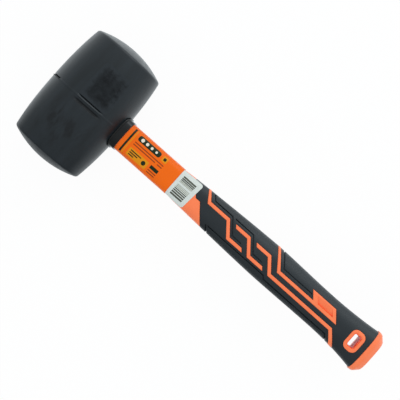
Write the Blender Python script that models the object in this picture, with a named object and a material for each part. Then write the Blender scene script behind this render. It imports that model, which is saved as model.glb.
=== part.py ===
"""A rubber mallet with a two-colour moulded handle over a fibreglass rod, lying on its side.

Metres, +Z up. The origin is where the handle's axis meets the butt's end face. +X runs along the
handle towards the head, and the head's own axis runs along Y. The flat sides of the handle face +Z
and -Z.
"""

import math

import bmesh
import bpy

MM = 0.001

# Fits
CLEARANCE = 0.30 * MM  # between two pieces that touch
LABEL_GAP = 0.15 * MM  # adhesive under a label
SIDE_OVERSHOOT = 8.0 * MM  # how far a cutter runs past the surface it cuts

# Head: a solid rubber barrel with crowned faces and a blind eye
HEAD_REACH = 272.5 * MM  # butt face to the head's axis
HEAD_LENGTH = 102.4 * MM  # crown to crown
GIRTH_DIAMETER = 64.2 * MM
FACE_DIAMETER = 57.8 * MM
BARREL_POWER = 2.4  # 2 is a parabola, higher is flatter at the girth
FACE_CROWN = 6.0 * MM
RIM_SETBACK = 2.2 * MM  # how far the rounded rim reaches along the barrel and the face
SEAM_RIB_HEIGHT = 0.6 * MM
SEAM_RIB_WIDTH = 1.5 * MM  # at its foot
SEAM_RIB_TOP = 0.7 * MM  # at its crest
EYE_DIAMETER = 19.0 * MM
EYE_TOP_WALL = 12.0 * MM  # rubber left between the eye's end and the top of the head

# Fibreglass rod and the spigot moulded round it
ROD_DIAMETER = 9.5 * MM
SPIGOT_DIAMETER = 14.6 * MM
SPIGOT_RING_HEIGHT = 0.5 * MM
SPIGOT_RING_WIDTH = 3.0 * MM
SPIGOT_RINGS = 4
RESIN_CAP = 2.5 * MM  # resin over the end of the spigot
RESIN_SETBACK = 3.0 * MM  # from the eye's mouth

# Handle outline: width along Y and thickness along Z at stations measured from the butt face
NECK_WIDTH = 22.3 * MM
NECK_THICKNESS = 20.2 * MM
NECK_FLARE_LENGTH = 8.0 * MM
THROAT_X = 178.0 * MM
THROAT_WIDTH = 23.4 * MM
THROAT_THICKNESS = 21.4 * MM
PALM_X = 100.0 * MM
PALM_WIDTH = 29.0 * MM
PALM_THICKNESS = 25.0 * MM
PALM_SET = -0.3 * MM  # the palm swell leans to -Y
PALM_POWER = 1.35  # 1 is a straight taper from palm to throat, 2 a parabola
WAIST_X = 47.0 * MM
WAIST_WIDTH = 27.5 * MM
WAIST_THICKNESS = 23.4 * MM
HEEL_WIDTH = 33.1 * MM
HEEL_THICKNESS = 25.8 * MM
HEEL_SET = 0.6 * MM  # and the heel to +Y
NECK_SECTION_POWER = 3.8  # 2 is an ellipse, higher is squarer
GRIP_SECTION_POWER = 2.7

# Butt: the moulding's own flange below the grip
BUTT_LENGTH = 7.5 * MM
BUTT_WIDTH = 34.7 * MM
BUTT_THICKNESS = 27.6 * MM
BUTT_EDGE_ROUND = 0.6 * MM
BUTT_TAPER = 0.5 * MM  # the flange narrows this much on each side towards the chamfer
BUTT_CHAMFER = 4.2 * MM  # along the handle, and as far inwards
BUTT_FACE_ROUND = 0.5 * MM

# Soft grip moulded over the handle
GRIP_WALL = 2.2 * MM
GRIP_TOP_X = 165.9 * MM  # middle of the grip's stepped upper edge
GRIP_TOP_Y = -0.9 * MM
GRIP_TOP_STEP = 4.0 * MM
GROOVE_WIDTH = 0.95 * MM
GROOVE_DEPTH = 0.7 * MM

# Stripes of the hard handle that show through the grip
SLANT_RATIO = 1.2  # rise over run of the slanted stretches
UPPER_EXIT_RATIO = 1.33  # the same for those that leave the side of the grip at -Y
LOWER_EXIT_RATIO = 1.09  # and at +Y
STRIPE_PROUD = 0.25 * MM
ZIGZAG_WIDTH = 2.5 * MM
ZIGZAG_PITCH = 19.5 * MM
ZIGZAG_HIGH_RUN = 12.1 * MM
ZIGZAG_LOW_RUN = 12.9 * MM
ZIGZAG_BEND_X = 140.4 * MM  # upper bend of the first zigzag
ZIGZAG_HIGH_Y = -4.8 * MM
ZIGZAG_LOW_Y = 5.35 * MM
FIRST_RUN = 18.0 * MM  # from the first zigzag's bend up to the slant that leaves the side
LONG_RUN_END_X = 35.6 * MM
SECOND_STRIPE_WIDTH = 2.4 * MM
SECOND_STRIPE_X = 89.3 * MM
SECOND_STRIPE_Y = -0.7 * MM

# Panel on the second stripe
PANEL_LENGTH = 21.4 * MM
PANEL_END_X = 34.5 * MM  # its corner nearest the butt
PANEL_TOP_Y = -7.9 * MM
PANEL_TOP_RIM = 2.0 * MM
PANEL_END_RIM = 2.6 * MM
PANEL_DEPTH = 0.5 * MM

# Grooves beside the stripes
GROOVE_SHIFT = 0.9 * MM  # a groove bends this much nearer the butt than its stripe
GROOVE_HIGH_Y = -8.45 * MM
GROOVE_LOW_Y = 2.1 * MM
FIRST_GROOVE_RUN = 16.4 * MM  # its upper run, then that of the next groove, then their lower runs
GROOVE_HIGH_RUN = 16.6 * MM
GROOVE_LOW_RUN = 8.2 * MM
UPPER_GROOVE_X = 87.8 * MM
UPPER_GROOVE_Y = -4.6 * MM
UPPER_GROOVE_GAP = 1.9 * MM  # from its end to the panel
EDGE_GROOVE_START_X = 150.4 * MM
EDGE_GROOVE_BREAK = 1.9 * MM  # left between its slanted stretch and its long one
EDGE_GROOVE_Y = 8.4 * MM
EDGE_GROOVE_STEP_X = 95.7 * MM
EDGE_GROOVE_LOW_Y = 10.5 * MM
EDGE_GROOVE_END_X = 36.0 * MM

# Hanging slot near the butt
SLOT_X = 17.3 * MM
SLOT_Y = 0.5 * MM
SLOT_WIDTH = 5.6 * MM
SLOT_HEIGHT = 10.2 * MM
SLOT_CORNER = 1.3 * MM
SLOT_BOSS_WIDTH = 11.1 * MM
SLOT_BOSS_HEIGHT = 16.4 * MM
SLOT_BOSS_CORNER = 4.3 * MM
ROD_END_WALL = 4.0 * MM  # between the slot's boss and the rod's end

# Collar between the head and the neck
COLLAR_WALL = 1.15 * MM  # how far it stands out from the neck
COLLAR_EDGE = 0.35 * MM  # bevel round its lower edge
COLLAR_LIP = 1.0 * MM  # how far the lip stands out from the collar
COLLAR_LIP_THICKNESS = 1.2 * MM
COLLAR_SKIRT = 2.3 * MM  # how far it reaches down over the neck
NECK_END_GAP = 1.4 * MM  # from the neck's end to the lowest point of the head

# Labels
LABEL_THICKNESS = 0.15 * MM
WRAP_SEAM_Y = 10.9 * MM  # the wrap stops here on both flat sides
CODE_LABEL_RISE = 3.7 * MM  # from the middle of the grip's upper edge to the label's lower end
CODE_LABEL_LENGTH = 17.6 * MM
CODE_LABEL_LOW_Y = -11.0 * MM
CODE_LABEL_HIGH_Y = 11.0 * MM
CODE_LABEL_CORNER = 3.0 * MM

# Facets
RING_POINTS = 28
STATION_STEP = 10.0 * MM
HEAD_SEGMENTS = 48
ROD_SEGMENTS = 20

# Worked out from the sizes above
GIRTH_RADIUS = GIRTH_DIAMETER / 2
FACE_RADIUS = FACE_DIAMETER / 2
HEAD_LOW_X = HEAD_REACH - GIRTH_RADIUS - SEAM_RIB_HEIGHT
NECK_END_X = HEAD_LOW_X - NECK_END_GAP
COLLAR_LOW_X = NECK_END_X - COLLAR_SKIRT
EYE_END_X = HEAD_REACH + GIRTH_RADIUS - EYE_TOP_WALL
SPIGOT_END_X = EYE_END_X - RESIN_CAP - 2 * CLEARANCE
ROD_LOW_X = SLOT_X + SLOT_BOSS_WIDTH / 2 + ROD_END_WALL
WIDEST = max(BUTT_WIDTH, PALM_WIDTH, HEEL_WIDTH) / 2 + SIDE_OVERSHOOT
THICKEST = max(BUTT_THICKNESS, PALM_THICKNESS, HEEL_THICKNESS) / 2 + SIDE_OVERSHOOT


def linear(hex_colour):
    """A #rrggbb colour as linear red, green, blue and alpha."""
    channels = [int(hex_colour[i : i + 2], 16) / 255 for i in (1, 3, 5)]
    return [c / 12.92 if c <= 0.04045 else ((c + 0.055) / 1.055) ** 2.4 for c in channels] + [1.0]


def make_material(name, hex_colour, roughness, metallic=0.0):
    material = bpy.data.materials.new(name)
    material.use_nodes = True
    shader = material.node_tree.nodes["Principled BSDF"]
    shader.inputs["Base Color"].default_value = linear(hex_colour)
    shader.inputs["Roughness"].default_value = roughness
    shader.inputs["Metallic"].default_value = metallic
    return material


def add_object(name, bm, material=None):
    """Turns a bmesh into an object. A piece gets a material, and a cutter gets none and isn't shown."""
    bmesh.ops.remove_doubles(bm, verts=bm.verts, dist=1e-6)
    bmesh.ops.recalc_face_normals(bm, faces=bm.faces)
    mesh = bpy.data.meshes.new(name)
    bm.to_mesh(mesh)
    bm.free()
    obj = bpy.data.objects.new(name, mesh)
    bpy.context.scene.collection.objects.link(obj)
    if material is None:
        obj.hide_render = True
        obj.display_type = "WIRE"
    else:
        mesh.materials.append(material)
        mesh.shade_smooth()
        mesh.set_sharp_from_angle(angle=math.radians(35))
    return obj


def combine(obj, other, operation):
    """Adds a Boolean of another object: UNION, DIFFERENCE or INTERSECT."""
    modifier = obj.modifiers.new(f"{operation.lower()} {other.name}", "BOOLEAN")
    modifier.object = other
    modifier.operation = operation


def ease(low, high, share):
    """From low to high with level ends, as share goes from 0 to 1."""
    return low + (high - low) * share * share * (3 - 2 * share)


def outline_at(x):
    """Half width, half thickness, sideways set and section power of the handle's outer surface at x."""
    heel = (HEEL_WIDTH / 2, HEEL_THICKNESS / 2, HEEL_SET, GRIP_SECTION_POWER)
    waist = (WAIST_WIDTH / 2, WAIST_THICKNESS / 2, 0.0, GRIP_SECTION_POWER)
    palm = (PALM_WIDTH / 2, PALM_THICKNESS / 2, PALM_SET, GRIP_SECTION_POWER)
    throat = (THROAT_WIDTH / 2, THROAT_THICKNESS / 2, 0.0, NECK_SECTION_POWER)
    neck = (NECK_WIDTH / 2, NECK_THICKNESS / 2, 0.0, NECK_SECTION_POWER)
    if x < WAIST_X:
        share = (WAIST_X - x) / (WAIST_X - BUTT_LENGTH)
        return [w + (h - w) * share * share for w, h in zip(waist, heel)]
    if x < PALM_X:
        share = (x - WAIST_X) / (PALM_X - WAIST_X)
        return [ease(w, p, share) for p, w in zip(palm, waist)]
    if x < THROAT_X:
        share = ((x - PALM_X) / (THROAT_X - PALM_X)) ** PALM_POWER
        return [p + (t - p) * share for p, t in zip(palm, throat)]
    share = min((x - THROAT_X) / NECK_FLARE_LENGTH, 1.0)
    return [ease(t, n, share) for t, n in zip(throat, neck)]


def section(x, half_width, half_thickness, set_y=0.0, section_power=NECK_SECTION_POWER):
    """Points of a rounded section of the handle, in the plane at x."""
    power = 2 / section_power
    widest = math.cos(math.pi / RING_POINTS) ** power
    points = []
    for i in range(RING_POINTS):
        angle = 2 * math.pi * (i + 0.5) / RING_POINTS
        across, up = math.cos(angle), math.sin(angle)
        y = set_y + half_width * math.copysign(abs(across) ** power, across) / widest
        z = half_thickness * math.copysign(abs(up) ** power, up) / widest
        points.append((x, y, z))
    return points


def handle_stations():
    """Where the handle's surface has its sections. Between them it runs straight."""
    flare_end = THROAT_X + NECK_FLARE_LENGTH
    knots = [0.0, BUTT_LENGTH, WAIST_X, PALM_X, THROAT_X, (THROAT_X + flare_end) / 2, flare_end]
    stations = []
    for start, end in zip(knots, knots[1:]):
        steps = max(1, round((end - start) / STATION_STEP))
        stations += [start + (end - start) * i / steps for i in range(steps)]
    return stations + [flare_end, flare_end + HEAD_REACH]


def handle_section(x, grow):
    """The handle's surface at x, moved out by grow. It lies on the straight run between two stations."""
    stations = handle_stations()
    below = max(station for station in stations[:-1] if station <= x)
    above = stations[stations.index(below) + 1]
    ends = []
    for station in (below, above):
        half_width, half_thickness, set_y, power = outline_at(station)
        ends.append(section(x, half_width + grow, half_thickness + grow, set_y, power))
    share = (x - below) / (above - below)
    return [[low + (high - low) * share for low, high in zip(*pair)] for pair in zip(*ends)]


def handle_sections(low_x, high_x, grow=0.0):
    """Sections of the handle's surface from low_x to high_x, moved out by grow."""
    between = [x for x in handle_stations() if low_x < x < high_x]
    return [handle_section(x, grow) for x in [low_x] + between + [high_x]]


def loft(name, sections, material=None):
    """A closed solid through sections that all have the same number of points, in flat triangles."""
    bm = bmesh.new()
    rings = []
    for points in sections:
        verts = [bm.verts.new(p) for p in points]
        edges = [bm.edges.new((a, b)) for a, b in zip(verts, verts[1:] + verts[:1])]
        rings.append((verts, edges))
    for (_, lower), (_, upper) in zip(rings, rings[1:]):
        bmesh.ops.bridge_loops(bm, edges=lower + upper)
    bm.faces.new(rings[0][0])
    bm.faces.new(rings[-1][0])
    bmesh.ops.triangulate(bm, faces=bm.faces)
    return add_object(name, bm, material)


def turned(name, profile, centre, along, segments, material=None):
    """A solid of revolution. The profile's points are (distance along the axis, radius)."""
    bm = bmesh.new()
    if along == "Y":
        points = [(centre[0] + radius, centre[1] + at, centre[2]) for at, radius in profile]
        axis = (0, 1, 0)
    else:
        points = [(centre[0] + at, centre[1] + radius, centre[2]) for at, radius in profile]
        axis = (1, 0, 0)
    verts = [bm.verts.new(p) for p in points]
    edges = [bm.edges.new(pair) for pair in zip(verts, verts[1:])]
    bmesh.ops.spin(
        bm, geom=verts + edges, cent=centre, axis=axis, angle=2 * math.pi, steps=segments, use_merge=True
    )
    return add_object(name, bm, material)


def prisms(name, outlines, low_z=-THICKEST, high_z=THICKEST):
    """Upright walls over flat outlines, as one cutter."""
    bm = bmesh.new()
    for outline in outlines:
        face = bm.faces.new([bm.verts.new((x, y, low_z)) for x, y in outline])
        grown = bmesh.ops.extrude_face_region(bm, geom=[face])
        top = [v for v in grown["geom"] if isinstance(v, bmesh.types.BMVert)]
        bmesh.ops.translate(bm, verts=top, vec=(0, 0, high_z - low_z))
    return add_object(name, bm)


def rounded_rectangle(x, y, width, height, radius, steps=4):
    """Outline of a rectangle centred at x, y, width along X and height along Y."""
    outline = []
    for quarter, (sx, sy) in enumerate(((1, 1), (-1, 1), (-1, -1), (1, -1))):
        for i in range(steps + 1):
            angle = (quarter + i / steps) * math.pi / 2
            outline.append(
                (
                    x + sx * (width / 2 - radius) + radius * math.cos(angle),
                    y + sy * (height / 2 - radius) + radius * math.sin(angle),
                )
            )
    return outline


def stripe(path, width, grow=0.0):
    """Outline of a line of constant width along a path whose ends are cut on the slant.

    grow widens the line and moves both its ends out by the same amount.
    """
    half = width / 2 + grow
    cut = math.hypot(1, SLANT_RATIO)
    left, right = [], []
    for i, (x, y) in enumerate(path):
        before = path[i - 1] if i else None
        after = path[i + 1] if i + 1 < len(path) else None
        directions = []
        for start, end in ((before, (x, y)), ((x, y), after)):
            if start and end:
                length = math.dist(start, end)
                directions.append(((end[0] - start[0]) / length, (end[1] - start[1]) / length))
        if len(directions) == 2:
            (ax, ay), (bx, by) = directions
            mx, my = -(ay + by), ax + bx
            scale = half / (mx * -ay + my * ax)
            left.append((x + mx * scale, y + my * scale))
            right.append((x - mx * scale, y - my * scale))
            continue
        dx, dy = directions[0]
        outward = grow * (1 if after is None else -1)
        ex, ey = x + dx * outward * cut / SLANT_RATIO, y + dy * outward * cut / SLANT_RATIO
        if abs(dy) < 1e-9:
            left.append((ex - half / SLANT_RATIO * dx, ey + half * dx))
            right.append((ex + half / SLANT_RATIO * dx, ey - half * dx))
        else:
            left.append((ex - dy * half, ey + dx * half))
            right.append((ex + dy * half, ey - dx * half))
    return left + right[::-1]


def leave_side(x, y, slant):
    """The point where a line from x, y has run out past the handle's side, -Y if slant is negative."""
    far = math.copysign(WIDEST, slant)
    return (x - (far - y) / abs(slant), far)


def zigzag_path(number):
    """Centre line of one of the three stripes that step down across the grip."""
    bend = ZIGZAG_BEND_X - number * ZIGZAG_PITCH
    low_bend = bend - (ZIGZAG_LOW_Y - ZIGZAG_HIGH_Y) / SLANT_RATIO
    if number == 0:
        start = (bend + FIRST_RUN, ZIGZAG_HIGH_Y)
        path = [leave_side(*start, -SLANT_RATIO), start]
    else:
        path = [(bend + ZIGZAG_HIGH_RUN, ZIGZAG_HIGH_Y)]
    path += [(bend, ZIGZAG_HIGH_Y), (low_bend, ZIGZAG_LOW_Y)]
    if number < 2:
        path.append((low_bend - ZIGZAG_LOW_RUN, ZIGZAG_LOW_Y))
    else:
        end = (LONG_RUN_END_X, ZIGZAG_LOW_Y)
        path += [end, leave_side(*end, LOWER_EXIT_RATIO)]
    return path


def second_stripe_path():
    start = (SECOND_STRIPE_X, SECOND_STRIPE_Y)
    return [leave_side(*start, -UPPER_EXIT_RATIO), start, (PANEL_END_X + PANEL_LENGTH / 2, SECOND_STRIPE_Y)]


def slanted_box(corner_x, length, top, bottom):
    """A box with slanted ends, whose lower corner nearest the butt is at corner_x."""
    top_x = corner_x + (bottom - top) / SLANT_RATIO
    return [(top_x, top), (top_x + length, top), (corner_x + length, bottom), (corner_x, bottom)]


def panel_outline(grow=0.0):
    """The slanted panel at the second stripe's end, moved out by grow."""
    bottom = SECOND_STRIPE_Y + SECOND_STRIPE_WIDTH / 2
    along = grow * math.hypot(1, SLANT_RATIO) / SLANT_RATIO
    corner_x = PANEL_END_X - along - grow / SLANT_RATIO
    return slanted_box(corner_x, PANEL_LENGTH + 2 * along, PANEL_TOP_Y - grow, bottom + grow)


def panel_recess_outline():
    bottom = SECOND_STRIPE_Y - SECOND_STRIPE_WIDTH / 2
    along = PANEL_END_RIM * math.hypot(1, SLANT_RATIO) / SLANT_RATIO
    corner_x = PANEL_END_X + along + SECOND_STRIPE_WIDTH / SLANT_RATIO
    return slanted_box(corner_x, PANEL_LENGTH - 2 * along, PANEL_TOP_Y + PANEL_TOP_RIM, bottom)


def groove_paths():
    """Centre lines of the narrow grooves beside the stripes."""
    paths = []
    for number, run in enumerate((FIRST_GROOVE_RUN, GROOVE_HIGH_RUN)):
        bend = ZIGZAG_BEND_X - number * ZIGZAG_PITCH - GROOVE_SHIFT
        low_bend = bend - (GROOVE_LOW_Y - GROOVE_HIGH_Y) / SLANT_RATIO
        start = (bend + run, GROOVE_HIGH_Y)
        path = [start, (bend, GROOVE_HIGH_Y), (low_bend, GROOVE_LOW_Y)]
        path.append((low_bend - GROOVE_LOW_RUN, GROOVE_LOW_Y))
        paths.append(path)
    paths[0].insert(0, leave_side(*paths[0][0], -SLANT_RATIO))
    upper = (UPPER_GROOVE_X, UPPER_GROOVE_Y)
    panel_edge = PANEL_END_X + PANEL_LENGTH + (SECOND_STRIPE_Y - UPPER_GROOVE_Y) / SLANT_RATIO
    upper_end = (panel_edge + UPPER_GROOVE_GAP, UPPER_GROOVE_Y)
    paths.append([leave_side(*upper, -UPPER_EXIT_RATIO), upper, upper_end])
    edge_start = (EDGE_GROOVE_START_X, EDGE_GROOVE_Y)
    step_end = EDGE_GROOVE_STEP_X - (EDGE_GROOVE_LOW_Y - EDGE_GROOVE_Y) / SLANT_RATIO
    edge_end = (EDGE_GROOVE_END_X, EDGE_GROOVE_LOW_Y)
    paths.append([leave_side(*edge_start, SLANT_RATIO), edge_start])
    paths.append(
        [
            (EDGE_GROOVE_START_X - EDGE_GROOVE_BREAK, EDGE_GROOVE_Y),
            (EDGE_GROOVE_STEP_X, EDGE_GROOVE_Y),
            (step_end, EDGE_GROOVE_LOW_Y),
            edge_end,
            leave_side(*edge_end, LOWER_EXIT_RATIO),
        ]
    )
    return paths


def grip_region(low_x, pull_back=0.0):
    """Outline seen from above of the space that the grip fills, with its stepped, slanted upper edge."""
    step_x = GRIP_TOP_X + pull_back * (1 - math.hypot(1, SLANT_RATIO)) / SLANT_RATIO
    upper = (step_x + GRIP_TOP_STEP / 2, GRIP_TOP_Y - pull_back)
    lower = (step_x - GRIP_TOP_STEP / 2, GRIP_TOP_Y - pull_back)
    return [
        (low_x, -WIDEST),
        leave_side(*upper, -SLANT_RATIO),
        upper,
        lower,
        leave_side(*lower, SLANT_RATIO),
        (low_x, WIDEST),
    ]


def stripe_outlines(grow=0.0):
    """Outlines of the four stripes."""
    outlines = [stripe(zigzag_path(number), ZIGZAG_WIDTH, grow) for number in range(3)]
    outlines.append(stripe(second_stripe_path(), SECOND_STRIPE_WIDTH, grow))
    return outlines


def head_profile(grow=0.0, rib_height=SEAM_RIB_HEIGHT):
    """Half section of the head as (distance along its axis, radius), moved out by grow."""
    rim_y = HEAD_LENGTH / 2 - FACE_CROWN
    crown_radius = (FACE_RADIUS**2 + FACE_CROWN**2) / (2 * FACE_CROWN)

    def barrel(y):
        return GIRTH_RADIUS - (GIRTH_RADIUS - FACE_RADIUS) * (y / rim_y) ** BARREL_POWER

    def crown(radius):
        return HEAD_LENGTH / 2 - crown_radius + math.sqrt(crown_radius**2 - radius**2)

    half_rib = SEAM_RIB_WIDTH / 2
    half = [(SEAM_RIB_TOP / 2, GIRTH_RADIUS + rib_height), (half_rib, barrel(half_rib))]
    rim_start = rim_y - RIM_SETBACK
    half += [(y, barrel(y)) for y in [half_rib + (rim_start - half_rib) * i / 4 for i in range(1, 5)]]
    corner = (rim_y, FACE_RADIUS)
    start, end = half[-1], (crown(FACE_RADIUS - RIM_SETBACK), FACE_RADIUS - RIM_SETBACK)
    for t in (0.25, 0.5, 0.75, 1.0):
        weights = ((1 - t) ** 2, 2 * t * (1 - t), t * t)
        half.append(tuple(sum(w * p[i] for w, p in zip(weights, (start, corner, end))) for i in (0, 1)))
    half += [(crown(r), r) for r in [end[1] * share for share in (0.8, 0.6, 0.4, 0.2, 0.0)]]
    grown = [(y + grow * min(1.0, y / rim_y), radius + grow if radius else 0.0) for y, radius in half]
    return [(-y, radius) for y, radius in reversed(grown)] + grown


def spigot_profile(grow=0.0):
    """The spigot's outline along X: a plain stem with keying rings, moved out by grow."""
    stem = SPIGOT_DIAMETER / 2 + grow
    low_x = NECK_END_X - SIDE_OVERSHOOT
    profile = [(low_x, 0.0), (low_x, stem)]
    first = HEAD_REACH - GIRTH_RADIUS + RESIN_SETBACK
    pitch = (SPIGOT_END_X - first) / SPIGOT_RINGS
    for number in range(SPIGOT_RINGS):
        middle = first + pitch * (number + 0.5)
        half = SPIGOT_RING_WIDTH / 2 + grow
        slope = SPIGOT_RING_HEIGHT
        profile += [
            (middle - half, stem),
            (middle - half + slope, stem + SPIGOT_RING_HEIGHT),
            (middle + half - slope, stem + SPIGOT_RING_HEIGHT),
            (middle + half, stem),
        ]
    end_x = SPIGOT_END_X + grow
    return profile + [(end_x, stem), (end_x, 0.0)]


def make_head(rubber):
    centre = (HEAD_REACH, 0.0, 0.0)
    head = turned("head", head_profile(), centre, "Y", HEAD_SEGMENTS, rubber)
    mouth_x = HEAD_LOW_X - SIDE_OVERSHOOT
    radius = EYE_DIAMETER / 2
    profile = [(mouth_x, 0.0), (mouth_x, radius), (EYE_END_X, radius), (EYE_END_X, 0.0)]
    eye = turned("eye cutter", profile, (0.0, 0.0, 0.0), "X", ROD_SEGMENTS)
    combine(head, eye, "DIFFERENCE")


def make_resin(resin_material):
    """Bonding resin cast between the spigot and the eye."""
    low_x, high_x = HEAD_REACH - GIRTH_RADIUS + RESIN_SETBACK, EYE_END_X - CLEARANCE
    radius = EYE_DIAMETER / 2 - CLEARANCE
    profile = [(low_x, 0.0), (low_x, radius), (high_x, radius), (high_x, 0.0)]
    resin = turned("eye_resin", profile, (0.0, 0.0, 0.0), "X", ROD_SEGMENTS, resin_material)
    spigot = turned("spigot cutter", spigot_profile(CLEARANCE), (0.0, 0.0, 0.0), "X", ROD_SEGMENTS)
    combine(resin, spigot, "DIFFERENCE")


def rod_profile(grow=0.0, overshoot=0.0):
    radius = ROD_DIAMETER / 2 + grow
    low_x, high_x = ROD_LOW_X - grow, SPIGOT_END_X + overshoot
    return [(low_x, 0.0), (low_x, radius), (high_x, radius), (high_x, 0.0)]


def butt_sections():
    """The flange below the grip, from its flat end face up."""
    half_width, half_thickness = BUTT_WIDTH / 2, BUTT_THICKNESS / 2
    chamfer_inset = BUTT_TAPER + BUTT_CHAMFER
    arc = 1 - math.cos(math.pi / 4)
    steps = (
        (0.0, chamfer_inset),
        (BUTT_FACE_ROUND, chamfer_inset - 2 * BUTT_FACE_ROUND),
        (BUTT_CHAMFER, BUTT_TAPER + BUTT_FACE_ROUND / 2),
        (BUTT_CHAMFER + BUTT_FACE_ROUND, BUTT_TAPER),
        (BUTT_LENGTH - BUTT_EDGE_ROUND, 0.0),
        (BUTT_LENGTH - BUTT_EDGE_ROUND * arc, BUTT_EDGE_ROUND * arc),
        (BUTT_LENGTH, BUTT_EDGE_ROUND),
    )
    sections = []
    for x, inset in steps:
        sections.append(section(x, half_width - inset, half_thickness - inset, HEEL_SET, GRIP_SECTION_POWER))
    return sections


def make_handle_body(hard_orange):
    """The hard moulding: butt, core under the grip, stripes, slot boss, bare neck and spigot."""
    body = loft("handle_body", butt_sections(), hard_orange)
    core = loft("core", handle_sections(BUTT_LENGTH / 2, GRIP_TOP_X + WIDEST, -GRIP_WALL))
    neck = loft("neck", handle_sections(PALM_X, NECK_END_X))
    region = prisms("grip space", [grip_region(PALM_X - SIDE_OVERSHOOT)])
    combine(neck, region, "DIFFERENCE")
    proud = loft("proud surface", handle_sections(BUTT_LENGTH / 2, THROAT_X, STRIPE_PROUD))
    boss = [
        rounded_rectangle(SLOT_X, SLOT_Y, SLOT_BOSS_WIDTH, SLOT_BOSS_HEIGHT, SLOT_BOSS_CORNER),
    ]
    stripes = prisms("stripes", stripe_outlines() + boss)
    panel = prisms("panel", [panel_outline()])
    spigot = turned("spigot", spigot_profile(), (0.0, 0.0, 0.0), "X", ROD_SEGMENTS)
    recess = prisms("panel recess", [panel_recess_outline()])
    floor = loft("recess floor", handle_sections(BUTT_LENGTH, PALM_X, STRIPE_PROUD - PANEL_DEPTH))
    bore = turned("rod bore", rod_profile(CLEARANCE, SIDE_OVERSHOOT), (0.0, 0.0, 0.0), "X", ROD_SEGMENTS)
    slot = prisms("slot", [rounded_rectangle(SLOT_X, SLOT_Y, SLOT_WIDTH, SLOT_HEIGHT, SLOT_CORNER)])
    combine(stripes, proud, "INTERSECT")
    combine(panel, proud, "INTERSECT")
    combine(recess, floor, "DIFFERENCE")
    combine(panel, recess, "DIFFERENCE")
    for piece in (core, neck, stripes, panel, spigot):
        combine(body, piece, "UNION")
    for cutter in (bore, slot):
        combine(body, cutter, "DIFFERENCE")


def make_grip_sleeve(soft_black):
    """The soft sleeve moulded over the core, open where the stripes and the slot boss come through."""
    low_x = BUTT_LENGTH + CLEARANCE
    sleeve = loft("grip_sleeve", handle_sections(low_x, GRIP_TOP_X + WIDEST), soft_black)
    region = prisms("grip outline", [grip_region(low_x - SIDE_OVERSHOOT, CLEARANCE)])
    core_space = loft(
        "core space", handle_sections(BUTT_LENGTH / 2, GRIP_TOP_X + 2 * WIDEST, CLEARANCE - GRIP_WALL)
    )
    boss = rounded_rectangle(
        SLOT_X,
        SLOT_Y,
        SLOT_BOSS_WIDTH + 2 * CLEARANCE,
        SLOT_BOSS_HEIGHT + 2 * CLEARANCE,
        SLOT_BOSS_CORNER + CLEARANCE,
    )
    openings = prisms("stripe openings", stripe_outlines(CLEARANCE) + [boss])
    panel_opening = prisms("panel opening", [panel_outline(CLEARANCE)])
    grooves = prisms("grooves", [stripe(path, GROOVE_WIDTH) for path in groove_paths()])
    groove_floor = loft("groove floor", handle_sections(BUTT_LENGTH / 2, THROAT_X, -GROOVE_DEPTH))
    combine(grooves, groove_floor, "DIFFERENCE")
    combine(sleeve, region, "INTERSECT")
    for cutter in (core_space, openings, panel_opening, grooves):
        combine(sleeve, cutter, "DIFFERENCE")


def make_collar(hard_black):
    """The collar that seats on the neck's end, with a lip that follows the head's barrel."""
    half_width = NECK_WIDTH / 2 + COLLAR_WALL
    half_thickness = NECK_THICKNESS / 2 + COLLAR_WALL
    high_x = HEAD_REACH - GIRTH_RADIUS + half_thickness
    collar = loft(
        "neck_collar",
        [
            section(COLLAR_LOW_X, half_width - COLLAR_EDGE, half_thickness - COLLAR_EDGE),
            section(COLLAR_LOW_X + COLLAR_EDGE, half_width, half_thickness),
            section(high_x, half_width, half_thickness),
        ],
        hard_black,
    )
    lip_low = section(COLLAR_LOW_X, half_width + COLLAR_LIP, half_thickness + COLLAR_LIP)
    lip_high = section(high_x, half_width + COLLAR_LIP, half_thickness + COLLAR_LIP)
    lip = loft("lip", [lip_low, lip_high])
    centre = (HEAD_REACH, 0.0, 0.0)
    lip_profile = head_profile(CLEARANCE + COLLAR_LIP_THICKNESS, rib_height=0.0)
    lip_shell = turned("lip shell", lip_profile, centre, "Y", HEAD_SEGMENTS)
    head_space = turned("head space", head_profile(CLEARANCE), centre, "Y", HEAD_SEGMENTS)
    inside = (NECK_WIDTH / 2 + CLEARANCE, NECK_THICKNESS / 2 + CLEARANCE)
    neck_space = loft(
        "neck space",
        [section(COLLAR_LOW_X - SIDE_OVERSHOOT, *inside), section(NECK_END_X + CLEARANCE, *inside)],
    )
    radius = SPIGOT_DIAMETER / 2 + CLEARANCE
    profile = [(COLLAR_LOW_X, 0.0), (COLLAR_LOW_X, radius), (high_x + radius, radius), (high_x + radius, 0.0)]
    spigot_hole = turned("spigot hole", profile, (0.0, 0.0, 0.0), "X", ROD_SEGMENTS)
    combine(lip, lip_shell, "INTERSECT")
    combine(collar, lip, "UNION")
    for cutter in (head_space, neck_space, spigot_hole):
        combine(collar, cutter, "DIFFERENCE")


def label_shell(name, low_x, high_x, material):
    """A thin tube over the handle's surface."""
    outer = loft(name, handle_sections(low_x, high_x, LABEL_GAP + LABEL_THICKNESS), material)
    inner = loft(f"{name} inside", handle_sections(low_x - NECK_FLARE_LENGTH, high_x + CLEARANCE, LABEL_GAP))
    combine(outer, inner, "DIFFERENCE")
    return outer


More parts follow.
